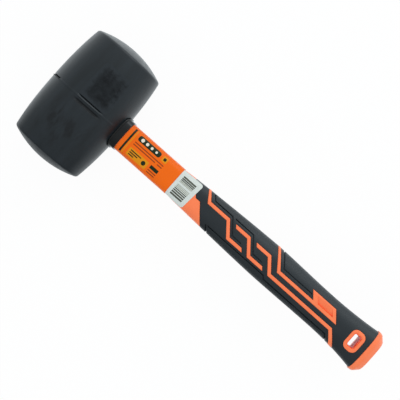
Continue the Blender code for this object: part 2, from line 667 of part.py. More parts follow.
def make_labels(film, paper):
    """The small label above the grip on the upper flat side, and the wrap from there to the collar."""
    code_low_x = GRIP_TOP_X + CODE_LABEL_RISE
    code_high_x = code_low_x + CODE_LABEL_LENGTH
    low_x = code_high_x + CLEARANCE
    high_x = COLLAR_LOW_X - CLEARANCE
    wrap = label_shell("wrap_label", low_x, high_x, film)
    seam = prisms(
        "wrap seam",
        [
            [
                (low_x - SIDE_OVERSHOOT, WRAP_SEAM_Y),
                (high_x + SIDE_OVERSHOOT, WRAP_SEAM_Y),
                (high_x + SIDE_OVERSHOOT, WIDEST),
                (low_x - SIDE_OVERSHOOT, WIDEST),
            ]
        ],
    )
    combine(wrap, seam, "DIFFERENCE")
    code = label_shell(
        "code_label", code_low_x - SIDE_OVERSHOOT, code_high_x + SIDE_OVERSHOOT, paper
    )
    outline = rounded_rectangle(
        (code_low_x + code_high_x) / 2,
        (CODE_LABEL_LOW_Y + CODE_LABEL_HIGH_Y) / 2,
        CODE_LABEL_LENGTH,
        CODE_LABEL_HIGH_Y - CODE_LABEL_LOW_Y,
        CODE_LABEL_CORNER,
    )
    combine(code, prisms("code label outline", [outline], low_z=0.0), "INTERSECT")


def main():
    for obj in list(bpy.data.objects):
        bpy.data.objects.remove(obj)
    rubber = make_material("moulded rubber", "#2f3437", 0.55)
    soft_black = make_material("soft moulded grip", "#343a3d", 0.62)
    hard_orange = make_material("orange polypropylene", "#fa7e50", 0.42)
    hard_black = make_material("black polypropylene", "#1e2121", 0.3)
    glass_rod = make_material("fibreglass rod", "#c9c48f", 0.4)
    resin = make_material("bonding resin", "#b9a35a", 0.25)
    film = make_material("printed film", "#ec6716", 0.35)
    paper = make_material("label paper", "#e2e6e1", 0.6)
    make_head(rubber)
    make_resin(resin)
    turned("core_rod", rod_profile(), (0.0, 0.0, 0.0), "X", ROD_SEGMENTS, glass_rod)
    make_handle_body(hard_orange)
    make_grip_sleeve(soft_black)
    make_collar(hard_black)
    make_labels(film, paper)


main()
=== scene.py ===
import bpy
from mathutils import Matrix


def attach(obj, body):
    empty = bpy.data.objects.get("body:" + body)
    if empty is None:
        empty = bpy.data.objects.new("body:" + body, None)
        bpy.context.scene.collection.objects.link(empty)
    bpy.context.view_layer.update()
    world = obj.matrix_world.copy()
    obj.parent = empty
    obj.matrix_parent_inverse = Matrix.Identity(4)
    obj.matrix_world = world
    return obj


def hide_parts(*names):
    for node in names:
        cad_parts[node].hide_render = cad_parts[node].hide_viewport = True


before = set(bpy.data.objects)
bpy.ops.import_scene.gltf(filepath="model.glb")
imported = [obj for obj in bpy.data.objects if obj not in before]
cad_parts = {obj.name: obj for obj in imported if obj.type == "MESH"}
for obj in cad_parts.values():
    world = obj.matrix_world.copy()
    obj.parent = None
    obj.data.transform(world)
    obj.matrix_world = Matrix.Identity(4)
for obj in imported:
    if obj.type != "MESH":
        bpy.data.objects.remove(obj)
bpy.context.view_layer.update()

import math

import bmesh
import bpy
from mathutils import Matrix, Vector

MM = 0.001

# Head, in the sizes of the solids
HEAD_REACH = 272.5 * MM
HEAD_LENGTH = 102.4 * MM
GIRTH_RADIUS = 32.1 * MM
FACE_RADIUS = 28.9 * MM
BARREL_POWER = 2.4
FACE_CROWN = 6.0 * MM
RIM_SETBACK = 1.4 * MM
BEAD_HEIGHT = 0.55 * MM
BEAD_HALF_WIDTH = 0.75 * MM
SEAM_REACH = 5.0 * MM
SEAM_STEP = 0.2 * MM  # between the rings of points that carry the bead
SEAM_MIDDLE = 6.6 * MM  # how far towards the handle the raised run of the bead is centred
SEAM_HALF_RUN = 10.0 * MM
SEAM_RUN_FADE = 4.0 * MM
LOW_LINE = (0.15, 1.6)  # share of the bead's height and width where it isn't raised
RAISED_WIDTH = 1.2
FIN_WIDTH = 0.8
FIN_TURN = 44.0  # degrees up from the head's middle, where the fin begins
SLIT_END_TURN = 85.0
TURN_FADE = 6.0
# Sunk across the bead, in mm: (middle, half width, depth)
RECESS_ABOVE = (-1.4, 0.6, 0.75)
RECESS_BELOW = (2.7, 1.5, 0.8)
FIN_SLIT = (-0.8, 0.5, 1.5)
MOULD_PANEL = ((264.6 * MM, -16.7 * MM), (24.0 * MM, 29.6 * MM, 3.5 * MM))
PANEL_SINK = 0.06 * MM
PANEL_LOWEST_Z = 0.5 * GIRTH_RADIUS
EYE_CUT_MARGIN = 8.0 * MM  # how far the eye's cutter starts outside the head
EYE_SEGMENTS = 64
EYE_RADIUS = 9.5 * MM
EYE_END_X = 292.6 * MM

# Handle outline
NECK_HALF = (11.15 * MM, 10.1 * MM)
NECK_FLARE_LENGTH = 8.0 * MM
THROAT_X = 178.0 * MM
THROAT_HALF = (11.7 * MM, 10.7 * MM)
PALM_X = 100.0 * MM
PALM_HALF = (14.5 * MM, 12.5 * MM)
PALM_SET = -0.3 * MM
PALM_POWER = 1.35
WAIST_X = 47.0 * MM
WAIST_HALF = (13.75 * MM, 11.7 * MM)
HEEL_HALF = (16.55 * MM, 12.9 * MM)
HEEL_SET = 0.6 * MM
NECK_POWER = 3.8
GRIP_POWER = 2.7
NECK_END_X = 238.4 * MM

# Butt
BUTT_LENGTH = 7.5 * MM
BUTT_HALF = (17.35 * MM, 13.8 * MM)
BUTT_TAPER = 0.5 * MM
BUTT_CHAMFER = 4.2 * MM
BUTT_ROUND = 0.8 * MM
BUTT_GAP = 0.05 * MM
BUTT_LAP = (2.0 * MM, 3.0 * MM)  # how far its end face and its back reach inwards

# Grip and stripes
GRIP_TOP_X = 165.9 * MM
GRIP_TOP_Y = -0.9 * MM
GRIP_TOP_STEP = 4.0 * MM
SLANT = 1.2
UPPER_EXIT_SLANT = 1.33
LOWER_EXIT_SLANT = 1.09
STRIPE_PROUD = 0.25 * MM
ZIGZAG_WIDTH = 2.5 * MM
ZIGZAG_PITCH = 19.5 * MM
ZIGZAG_HIGH_RUN = 12.1 * MM
ZIGZAG_LOW_RUN = 12.9 * MM
ZIGZAG_BEND_X = 140.4 * MM
ZIGZAG_HIGH_Y = -4.8 * MM
ZIGZAG_LOW_Y = 5.35 * MM
FIRST_RUN = 18.0 * MM
LONG_RUN_END_X = 35.6 * MM
SECOND_STRIPE_WIDTH = 2.4 * MM
SIDE_TAPER = 2.3 * MM  # how far one side of a stripe is drawn in where it has run out past the handle
SECOND_STRIPE_X = 89.3 * MM
SECOND_STRIPE_Y = -0.7 * MM
PANEL_LENGTH = 21.4 * MM
PANEL_END_X = 34.5 * MM
PANEL_TOP_Y = -7.9 * MM
POCKET_TOP_RIM = 1.4 * MM
POCKET_HEAD_RIM = 3.3 * MM
POCKET_BUTT_RIM = 2.4 * MM
POCKET_DEPTH = 1.75 * MM
POCKET_SLOPE = (0.05, 0.95)  # share of its depth at its upper side, and what it gains towards the lower
GROOVE_WIDTH = 0.95 * MM
GROOVE_DEPTH = 0.95 * MM
GROOVE_SHIFT = 0.9 * MM
GROOVE_HIGH_Y = -8.45 * MM
GROOVE_LOW_Y = 2.1 * MM
FIRST_GROOVE_RUN = 16.4 * MM
FIRST_GROOVE_END_Y = -12.2 * MM
GROOVE_HIGH_RUN = 16.6 * MM
GROOVE_LOW_RUN = 8.2 * MM
UPPER_GROOVE_X = 87.8 * MM
UPPER_GROOVE_Y = -4.6 * MM
UPPER_GROOVE_GAP = 1.9 * MM
EDGE_GROOVE_START_X = 150.4 * MM
EDGE_GROOVE_BREAK = 1.9 * MM
EDGE_GROOVE_Y = 8.4 * MM
EDGE_GROOVE_STEP_X = 95.7 * MM
EDGE_GROOVE_LOW_Y = 10.5 * MM
EDGE_GROOVE_END_X = 36.0 * MM
SLOT_X = 17.3 * MM
SLOT_Y = 0.5 * MM
SLOT_SIZE = (5.6 * MM, 10.2 * MM, 1.3 * MM)
BOSS_SIZE = (11.1 * MM, 16.4 * MM, 4.3 * MM)
SLOT_MOUTH = 1.5 * MM  # radius of the slot's rounded mouth
SLOT_DRAFT = 0.35 * MM  # how far each side of the slot leans in, from its mouths to the parting line
EDGE_ROUND = 0.3 * MM  # radius along the edges of the grip and the stripes
GROOVE_WALL = 0.14 * MM  # width of a groove's sloped side
GROOVE_RIM = 0.1  # share of its depth right at its edge
GROOVE_LIP = (0.15 * MM, 0.08 * MM)  # width and sink of the rounding beside it
MOUTH_CUTS = (0.0, 0.1, 0.35, 0.7, 1.0)  # shares of the mouth's radius where it is cut
SLOT_WALL_EDGE = MOUTH_CUTS[2]  # where the slot's own finish begins
STIPPLE_PITCH = 1.1 * MM
STIPPLE_HEIGHT = 0.1 * MM
STIPPLE_EDGE = (0.15, 0.5)  # shares of the pitch between which a dot slopes down
STIPPLE_DISORDER = 0.55
SKIN_DEPTH = 2.1 * MM  # how far a moulded layer reaches inwards

# Collar
COLLAR_LOW_X = 236.1 * MM
COLLAR_WALL = 1.15 * MM
COLLAR_LIP = 1.0 * MM
COLLAR_LIP_THICKNESS = 1.3 * MM
COLLAR_EDGE = 0.4 * MM
COLLAR_GRASP = 0.1 * MM  # how far it reaches into the neck
COLLAR_FILLET = 0.35 * MM  # between it and its lip
COLLAR_LIP_ROUND = 0.4 * MM
COLLAR_HEAD_GAP = 0.05 * MM

# Labels
CODE_LABEL_X = (169.6 * MM, 187.2 * MM)
CODE_LABEL_Y = 11.0 * MM
CODE_LABEL_CORNER = 3.0 * MM
CODE_LABEL_SHIFT = 0.5 * MM  # how far it is stuck on towards +Y
CODE_LABEL_SKEW = (0.4 * MM, 0.08)  # how far its butt end is drawn in, and how much more towards +Y
WRAP_LABEL_X = (187.5 * MM, 235.8 * MM)
WRAP_SEAM = 0.25 * MM  # gap where its ends meet, on the far side
LABEL_STEP = 0.7 * MM  # between a label's points round the handle
WRAP_STEP = 1.2 * MM  # and along it
CODE_LABEL_STEP = 0.8 * MM
GIRTH_TABLE_STEP = 0.2 * MM  # sections nearer to each other share a table of arc lengths
# The small label's print: two hatches, in mm: (start, gap between bars, bar heights)
HATCHES = ((-7.9, 0.33, (1.3, 1.0, 0.8, 0.6, 0.4)), (-0.7, 0.48, (0.4, 0.5, 0.6, 0.8, 1.0, 1.2, 1.4)))
HATCH_START = 2.8 * MM  # from the label's upper end
HATCH_LENGTH = 11.4 * MM
BOLD_BAR = 0.7  # bars higher than this, in mm, are in the darker ink
LABEL_OUT = 0.27 * MM
LABEL_IN = 0.02 * MM

# Facets
GRIP_STEP = 1.0 * MM
NECK_STEP = 2.0 * MM
AROUND = 112
HEAD_SEGMENTS = 160
HEAD_STEP = 1.8 * MM
RIM_STEPS = 8
ARC_STEPS = 4
SNAP = 0.01 * MM
REACH = 1.3 * MM  # past half a facet
FAR = 26.0 * MM  # past the handle's sides
SHARP_ANGLE = 48

# Patterns and masks
NOISE_SPAN = (0.3, 0.7)  # between which nearly all of a pattern's values lie
NOISE_ROUGHNESS = 0.55
# Black for painted shade beside the bead and at its fin, for the panel's painted dark reflection and for the
# head's darker streaks
PAINTED_DARK = "#02060a"
SLOT_ORANGE = "#fa6c40"
# Where the head's skin is rougher and painted with shade beside the bead and at its fin, where it is rougher
# and darker in streaks, and where the panel is rougher and painted with a dark reflection, in mm along X and
# Y: (low, high, fade)
DULL_SHADE_ABOVE = ((255.5, 276.5, 5.0), (-2.1, -0.7, 0.3))
DULL_SHADE_BELOW = ((252.0, 280.0, 6.0), (1.1, 4.7, 1.0))
DULL_SHADE_FIN = ((294.5, 307.0, 2.0), (-1.3, 0.4, 0.2))
DULL_SHADE_FROM_Z = (8.0 * MM, 16.0 * MM)  # the underside is neither rougher nor painted with shade
DULL_ROUGHNESS = 0.3  # added to the skin's own
STREAKED = ((248.0, 292.0, 10.0), (4.0, 42.0, 9.0))
SMEAR_SPAN = (0.48, 0.64)  # of a pattern's values, from no streak to a full one
SMEAR_SHARE = 0.8
ERODED_AND_REFLECTION = ((254.0, 275.2, 3.5), (-30.2, -3.0, 3.5))
ERODED_RAGGED = 2.0 * MM  # how far its edge runs in and out
MOTTLE_SPAN = (0.36, 0.64)
MOTTLE_LEAST = 0.6
STIPPLED = ((9.3, 40.0, 0.5), (40.0, 150.0, 6.0))  # away from the middle, and along X

# Stage
STAGE_X = 0.15
FLOOR_HALF = 3.0
FLOOR_Z = -(GIRTH_RADIUS + BEAD_HEIGHT)
FLOOR_GLOW = 0.95  # how far the floor shows plain white, over its shadow
FLOOR_SHEEN = (1.34, 0.26)  # how bright a gloss shows the floor, from the lamp's side to the far side
FALLOFF = (0.0, 0.11)  # where along Y the sheen falls off
TENT_LEVELS = (0.6, 2.3)  # how bright a gloss shows the light tent, from the far side to the lamp's side
STRIP_FALLOFF = 2.5
TENT_LIGHT = 1.01
TENT_COLOUR = (0.91, 0.97, 1.0, 1.0)
WHITE = (1.0, 1.0, 1.0, 1.0)
LAMP_WATTS = 1.7
LAMP_SIZE = (0.7, 0.5)
LAMP_PLACE = Vector((STAGE_X, -0.9, 0.6))
CAMERA_PLACE = Vector((0.12744, -0.00185, 0.792))
CAMERA_TARGET = Vector((0.16524, -0.00185, 0.0))
CAMERA_TURN = 41.6  # degrees
CAMERA_LENS = 99
CAMERA_SENSOR = 36


# Materials. The grain of a matt mould, 0.1 to 0.2 mm, is too fine to show in the render, so it is drawn at
# about 0.5 mm.

def linear(hex_colour):
    """A #rrggbb colour as linear red, green, blue and alpha."""
    channels = [int(hex_colour[i : i + 2], 16) / 255 for i in (1, 3, 5)]
    return [c / 12.92 if c <= 0.04045 else ((c + 0.055) / 1.055) ** 2.4 for c in channels] + [1.0]


def plug(node, inputs):
    """Sets sockets, by name or in order, to values or links. A node stands for its first output in use."""
    for key, value in inputs.items() if isinstance(inputs, dict) else enumerate(inputs):
        if isinstance(value, bpy.types.Node):
            value = next(output for output in value.outputs if output.enabled)
        if isinstance(value, bpy.types.NodeSocket):
            node.id_data.links.new(value, node.inputs[key])
        else:
            node.inputs[key].default_value = value


def add_node(tree, kind, inputs=(), **settings):
    """Adds a node with its settings and links."""
    node = tree.nodes.new("ShaderNode" + kind)
    for key, value in settings.items():
        setattr(node, key, value)
    plug(node, inputs)
    return node


def new_finish(name, colour, roughness, ior, specular, *patterns):
    """A Principled material with noise patterns, each given as about how large its blotches are, its detail
    and how far it is drawn out along each axis. Returns it with its tree, shader, Object coordinates and
    patterns."""
    material = bpy.data.materials.new(name)
    material.use_nodes = True
    tree = material.node_tree
    shader = tree.nodes["Principled BSDF"]
    plug(shader, {"Base Color": linear(colour), "Roughness": roughness})
    plug(shader, {"IOR": ior, "Specular IOR Level": specular})
    place = add_node(tree, "TexCoord").outputs["Object"]
    noises = []
    for size, detail, *stretch in patterns:
        scale = [1 / (size * s) for s in stretch or (1.0, 1.0, 1.0)]
        scaled = add_node(tree, "Mapping", {"Vector": place, "Scale": scale})
        settings = {"Vector": scaled, "Scale": 1.0, "Detail": detail, "Roughness": NOISE_ROUGHNESS}
        noises.append(add_node(tree, "TexNoise", settings))
    return material, tree, shader, place, noises


def vary(tree, shader, shades=None, gloss=None, bumps=()):
    """Lets a skin vary. shades is a pattern and two colours, gloss a pattern and two roughnesses, and bumps
    are heights with their depths in metres, one over the other."""
    if shades:
        pattern, low_hex, high_hex = shades
        share = add_node(tree, "MapRange", (pattern, *NOISE_SPAN, 0.0, 1.0))
        colours = {"Factor": share, "A": linear(low_hex), "B": linear(high_hex)}
        plug(shader, {"Base Color": add_node(tree, "Mix", colours, data_type="RGBA")})
    if gloss:
        pattern, low, high = gloss
        plug(shader, {"Roughness": add_node(tree, "MapRange", (pattern, *NOISE_SPAN, low, high))})
    normal = {}
    for height, depth in bumps:
        inputs = {"Height": height, "Distance": depth, "Strength": 1.0, **normal}
        normal = {"Normal": add_node(tree, "Bump", inputs)}
    plug(shader, normal)


def box_mask(tree, values, sides):
    """1 where each value is within its side, fading to 0 at both ends. A side is (low, high, fade) in mm."""
    mask = None
    for value, side in zip(values, sides):
        low, high, fade = (size * MM for size in side)
        for edge, full in ((low, low + fade), (high, high - fade)):
            within = add_node(tree, "MapRange", (value, edge, full, 0.0, 1.0))
            mask = within if mask is None else add_node(tree, "Math", (mask, within), operation="MULTIPLY")
    return mask


def moulded_rubber():
    """Compression moulded SBR, carbon black: a dry satin skin with faint flow marks along the head. Beside
    the bead and at its fin it is rougher, and darker with painted shade; it is also rougher and darker in
    streaks."""
    along = (1.0, 5.0, 1.0)
    material, tree, shader, place, (cloud, grain, flow, smear) = new_finish(
        "rubber_moulded", "#161d22", 0.34, 1.5, 0.31,
        (9 * MM, 2.0, *along), (0.55 * MM, 2.0), (5 * MM, 2.0, *along), (6 * MM, 3.0, 1.0, 2.5, 1.0),
    )
    split = add_node(tree, "SeparateXYZ", (place,)).outputs
    across, masks = (split["X"], split["Y"]), (DULL_SHADE_ABOVE, DULL_SHADE_BELOW, DULL_SHADE_FIN, STREAKED)
    # above, below and fin mark where shade is painted beside the bead and at its fin
    above, below, fin, streaked = (box_mask(tree, across, sides) for sides in masks)
    smear = add_node(tree, "MapRange", (smear, *SMEAR_SPAN, 0.0, SMEAR_SHARE))
    # Streaks drawn out by a smeared pattern, where the colour is darker and the skin rougher
    streaked = add_node(tree, "Math", (streaked, smear), operation="MULTIPLY")
    upper = add_node(tree, "MapRange", (split["Z"], *DULL_SHADE_FROM_Z, 0.0, 1.0))
    dull_and_shaded = add_node(tree, "Math", (above, below), operation="MAXIMUM")
    dull_and_shaded = add_node(tree, "Math", (dull_and_shaded, streaked), operation="MAXIMUM")
    dull_and_shaded = add_node(tree, "Math", (dull_and_shaded, upper), operation="MULTIPLY")
    dull_and_shaded = add_node(tree, "Math", (dull_and_shaded, fin), operation="MAXIMUM")
    share = add_node(tree, "MapRange", (cloud, *NOISE_SPAN, 0.0, 1.0))
    colours = {"Factor": share, "A": linear("#0f161a"), "B": linear("#192025")}
    shade = add_node(tree, "Mix", colours, data_type="RGBA")
    # Painted shade: the colour goes towards black beside the bead and at its fin, and also in the darker
    # streaks
    dark = add_node(tree, "Mix", {"Factor": dull_and_shaded, "A": shade, "B": linear(PAINTED_DARK)}, data_type="RGBA")
    gloss = add_node(tree, "MapRange", (flow, *NOISE_SPAN, 0.3, 0.38))
    gloss = add_node(tree, "Math", (dull_and_shaded, DULL_ROUGHNESS, gloss), operation="MULTIPLY_ADD")
    plug(shader, {"Base Color": dark, "Roughness": gloss})
    vary(tree, shader, bumps=((grain, 0.03 * MM), (flow, 0.05 * MM)))
    return material


def eroded_rubber_painted_reflection():
    """The same rubber where the mould is spark eroded: rougher in blotches, with fine pits; their darkness is
    a painted dark reflection.
    """
    material, tree, shader, place, (blotch, pits) = new_finish(
        "rubber_eroded_painted_reflection", "#0d1216", 0.5, 1.5, 0.2, (4.5 * MM, 3.0), (1.2 * MM, 2.0)
    )
    split = add_node(tree, "SeparateXYZ", (place,)).outputs
    ragged = add_node(tree, "MapRange", (blotch, *NOISE_SPAN, -ERODED_RAGGED, ERODED_RAGGED))
    frayed = [add_node(tree, "Math", (split[axis], ragged), operation="ADD") for axis in "XY"]
    mottle = add_node(tree, "MapRange", (blotch, *MOTTLE_SPAN, MOTTLE_LEAST, 1.0))
    eroded_and_reflection = add_node(tree, "Math", (box_mask(tree, frayed, ERODED_AND_REFLECTION), mottle), operation="MULTIPLY")
    # Painted dark reflection: the panel's colour goes towards black in the blotches
    colours = {"Factor": eroded_and_reflection, "A": linear("#22272b"), "B": linear(PAINTED_DARK)}
    rough = add_node(tree, "MapRange", (eroded_and_reflection, 0.0, 1.0, 0.36, 0.6))
    plug(shader, {"Base Color": add_node(tree, "Mix", colours, data_type="RGBA"), "Roughness": rough})
    pitted = add_node(tree, "Math", (pits, eroded_and_reflection), operation="MULTIPLY")
    vary(tree, shader, bumps=((pitted, 0.2 * MM),))
    return material


def soft_grip():
    """Overmoulded thermoplastic rubber: matt, with a fine even grain, and stippled where the palm rests."""
    material, tree, shader, place, (cloud, grain) = new_finish(
        "grip_soft_rubber", "#1b2226", 0.48, 1.48, 0.35, (18 * MM, 2.0, 2.0, 1.0, 1.0), (0.45 * MM, 1.0)
    )
    split = add_node(tree, "SeparateXYZ", (place,)).outputs
    aside = add_node(tree, "Math", (split["Y"],), operation="ABSOLUTE")
    palm = box_mask(tree, (aside, split["X"]), STIPPLED)
    cells = {"Vector": place, "Scale": 1 / STIPPLE_PITCH, "Randomness": STIPPLE_DISORDER}
    dots = add_node(tree, "TexVoronoi", cells)
    dots = add_node(tree, "MapRange", (dots, *STIPPLE_EDGE, 1.0, 0.0))
    dots = add_node(tree, "Math", (dots, palm), operation="MULTIPLY")
    bumps = ((grain, 0.035 * MM), (dots, STIPPLE_HEIGHT))
    vary(tree, shader, (cloud, "#171d21", "#1d2428"), (grain, 0.43, 0.55), bumps)
    return material


def hard_orange():
    """Injection moulded polypropylene, orange: satin, and nearly even in its shade."""
    material, tree, shader, _, (cloud, grain) = new_finish(
        "polypropylene_orange", "#fb7a48", 0.42, 1.49, 0.4, (9 * MM, 2.0), (0.5 * MM, 1.0)
    )
    vary(tree, shader, (cloud, "#f97745", "#fd7e4b"), (grain, 0.36, 0.46), ((grain, 0.012 * MM),))
    return material


def shutoff_orange_with_shade():
    """The same polypropylene in the slot, off the mould's core pins: its deeper red towards the parting line
    is painted shade.
    """
    material, tree, shader, place, (scuff,) = new_finish(
        "polypropylene_shutoff_painted_shade", SLOT_ORANGE, 0.4, 1.49, 0.14, (0.8 * MM, 2.0, 1.0, 1.0, 6.0)
    )
    height = add_node(tree, "SeparateXYZ", (place,)).outputs["Z"]
    height = add_node(tree, "Math", (height,), operation="ABSOLUTE")
    # Painted shade: the wall is a deeper, darker red near the parting line, deep inside the slot
    share = add_node(tree, "MapRange", (height, 2 * MM, 7 * MM, 0.0, 1.0))
    colours = {"Factor": share, "A": linear("#f8402c"), "B": linear(SLOT_ORANGE)}
    plug(shader, {"Base Color": add_node(tree, "Mix", colours, data_type="RGBA")})
    vary(tree, shader, bumps=((scuff, 0.012 * MM),))
    return material


def gloss_black():
    """Injection moulded polypropylene, black, from a polished mould: glossy with soft waves."""
    material, tree, shader, _, (wave,) = new_finish(
        "polypropylene_black", "#030404", 0.13, 1.49, 0.29, (3 * MM, 1.0)
    )
    vary(tree, shader, gloss=(wave, 0.1, 0.17), bumps=((wave, 0.02 * MM),))
    return material


def film(name, colour):
    """Printed polypropylene label film: an even gloss, with waves where it bridges the neck."""
    material, tree, shader, _, (wave,) = new_finish(name, colour, 0.34, 1.49, 0.17, (6 * MM, 1.0))
    vary(tree, shader, gloss=(wave, 0.3, 0.39), bumps=((wave, 0.02 * MM),))
    return material


def label_paper(name, low_hex, high_hex):
    """Coated label paper: nearly matt. Its fibres, too fine to show, are drawn as faint streaks."""
    fibre = (0.7 * MM, 3.0, 2.5, 1.0, 1.0)
    material, tree, shader, _, (fibres,) = new_finish(name, high_hex, 0.6, 1.5, 0.3, fibre)
    vary(tree, shader, (fibres, low_hex, high_hex), bumps=((fibres, 0.01 * MM),))
    return material


def hidden_core(name, colour, roughness, streak):
    """A core material that the handle hides: glass fibre rod or cast resin, streaked along the handle."""
    strand = (0.6 * MM, 2.0, 30.0, 1.0, 1.0)
    material, tree, shader, _, (strands,) = new_finish(name, colour, roughness, 1.55, 0.5, strand)
    vary(tree, shader, (strands, streak, colour), bumps=((strands, 0.02 * MM),))
    return material


# Outlines seen from above, as the solids have them

def clamped(value):
    return max(0.0, min(1.0, value))


def ease(low, high, share):
    return low + (high - low) * share * share * (3 - 2 * share)


def outline_at(x):
    """Half width, half thickness, sideways set and section power of the handle at x."""
    heel = (*HEEL_HALF, HEEL_SET, GRIP_POWER)
    waist = (*WAIST_HALF, 0.0, GRIP_POWER)
    palm = (*PALM_HALF, PALM_SET, GRIP_POWER)
    throat = (*THROAT_HALF, 0.0, NECK_POWER)
    neck = (*NECK_HALF, 0.0, NECK_POWER)
    if x < WAIST_X:
        share = (WAIST_X - x) / (WAIST_X - BUTT_LENGTH)
        return [w + (h - w) * share * share for w, h in zip(waist, heel)]
    if x < PALM_X:
        share = (x - WAIST_X) / (PALM_X - WAIST_X)
        return [ease(w, p, share) for p, w in zip(palm, waist)]
    if x < THROAT_X:
        share = ((x - PALM_X) / (THROAT_X - PALM_X)) ** PALM_POWER
        return [p + (t - p) * share for p, t in zip(palm, throat)]
    share = min((x - THROAT_X) / NECK_FLARE_LENGTH, 1.0)
    return [ease(t, n, share) for t, n in zip(throat, neck)]


def section_point(x, angle, half_width, half_thickness, set_y, power):
    """The point of a rounded section at an angle round the handle."""
    across, up = math.cos(angle), math.sin(angle)
    reach = (abs(across / half_width) ** power + abs(up / half_thickness) ** power) ** (-1 / power)
    return Vector((x, set_y + reach * across, reach * up))


def rounded_rectangle(centre, size, grow=0.0, steps=6):
    """Outline of a rectangle with rounded corners, width along X and height along Y."""
    width, height, radius = size
    outline = []
    for quarter, (sx, sy) in enumerate(((1, 1), (-1, 1), (-1, -1), (1, -1))):
        for i in range(steps + 1):
            angle = (quarter + i / steps) * math.pi / 2
            x = centre[0] + sx * (width / 2 - radius) + (radius + grow) * math.cos(angle)
            y = centre[1] + sy * (height / 2 - radius) + (radius + grow) * math.sin(angle)
            outline.append((x, y))
    return outline


def stripe(path, width, grow=0.0, drawn_in=(0.0, 0.0)):
    """Outline of a line along a path, ends cut on the slant. Its two sides may be drawn in at the start."""
    half = width / 2 + grow
    cut = math.hypot(1, SLANT)
    left, right = [], []
    for i, (x, y) in enumerate(path):
        before = path[i - 1] if i else None
        after = path[i + 1] if i + 1 < len(path) else None
        directions = []
        for start, end in ((before, (x, y)), ((x, y), after)):
            if start and end:
                length = math.dist(start, end)
                directions.append(((end[0] - start[0]) / length, (end[1] - start[1]) / length))
        if len(directions) == 2:
            (ax, ay), (bx, by) = directions
            mx, my = -(ay + by), ax + bx
            scale = half / (mx * -ay + my * ax)
            left.append((x + mx * scale, y + my * scale))
            right.append((x - mx * scale, y - my * scale))
            continue
        dx, dy = directions[0]
        outward = grow * (1 if after is None else -1)
        ex, ey = x + dx * outward * cut / SLANT, y + dy * outward * cut / SLANT
        if abs(dy) < 1e-9:
            left.append((ex - half / SLANT * dx, ey + half * dx))
            right.append((ex + half / SLANT * dx, ey - half * dx))
        else:
            left_half, right_half = (half - taper * (before is None) for taper in drawn_in)
            left.append((ex - dy * left_half, ey + dx * left_half))
            right.append((ex + dy * right_half, ey - dx * right_half))
    return left + right[::-1]


def leave_side(x, y, slant):
    """The point where a line from x, y has run out past the handle's side, -Y if slant is negative."""
    far = math.copysign(FAR, slant)
    return (x - (far - y) / abs(slant), far)


def zigzag_path(number):
    bend = ZIGZAG_BEND_X - number * ZIGZAG_PITCH
    low_bend = bend - (ZIGZAG_LOW_Y - ZIGZAG_HIGH_Y) / SLANT
    if number == 0:
        start = (bend + FIRST_RUN, ZIGZAG_HIGH_Y)
        path = [leave_side(*start, -SLANT), start]
    else:
        path = [(bend + ZIGZAG_HIGH_RUN, ZIGZAG_HIGH_Y)]
    path += [(bend, ZIGZAG_HIGH_Y), (low_bend, ZIGZAG_LOW_Y)]
    if number < 2:
        path.append((low_bend - ZIGZAG_LOW_RUN, ZIGZAG_LOW_Y))
    else:
        end = (LONG_RUN_END_X, ZIGZAG_LOW_Y)
        path += [end, leave_side(*end, LOWER_EXIT_SLANT)]
    return path


def second_stripe_path():
    start = (SECOND_STRIPE_X, SECOND_STRIPE_Y)
    return [leave_side(*start, -UPPER_EXIT_SLANT), start, (PANEL_END_X + PANEL_LENGTH / 2, SECOND_STRIPE_Y)]


def slanted_box(corner_x, length, top, bottom):
    """A box with slanted ends, whose lower corner nearest the butt is at corner_x."""
    top_x = corner_x + (bottom - top) / SLANT
    return [(top_x, top), (top_x + length, top), (corner_x + length, bottom), (corner_x, bottom)]


def panel_outline(grow=0.0):
    bottom = SECOND_STRIPE_Y + SECOND_STRIPE_WIDTH / 2
    along = grow * math.hypot(1, SLANT) / SLANT
    corner_x = PANEL_END_X - along - grow / SLANT
    return slanted_box(corner_x, PANEL_LENGTH + 2 * along, PANEL_TOP_Y - grow, bottom + grow)


def pocket_outline(grow=0.0):
    """The sunk part of the panel."""
    bottom = SECOND_STRIPE_Y - SECOND_STRIPE_WIDTH / 2
    top = PANEL_TOP_Y + POCKET_TOP_RIM
    along = math.hypot(1, SLANT) / SLANT
    low_rim, high_rim = (POCKET_BUTT_RIM - grow) * along, (POCKET_HEAD_RIM - grow) * along
    corner_x = PANEL_END_X + low_rim + (SECOND_STRIPE_WIDTH - grow) / SLANT
    return slanted_box(corner_x, PANEL_LENGTH - low_rim - high_rim, top - grow, bottom + grow)


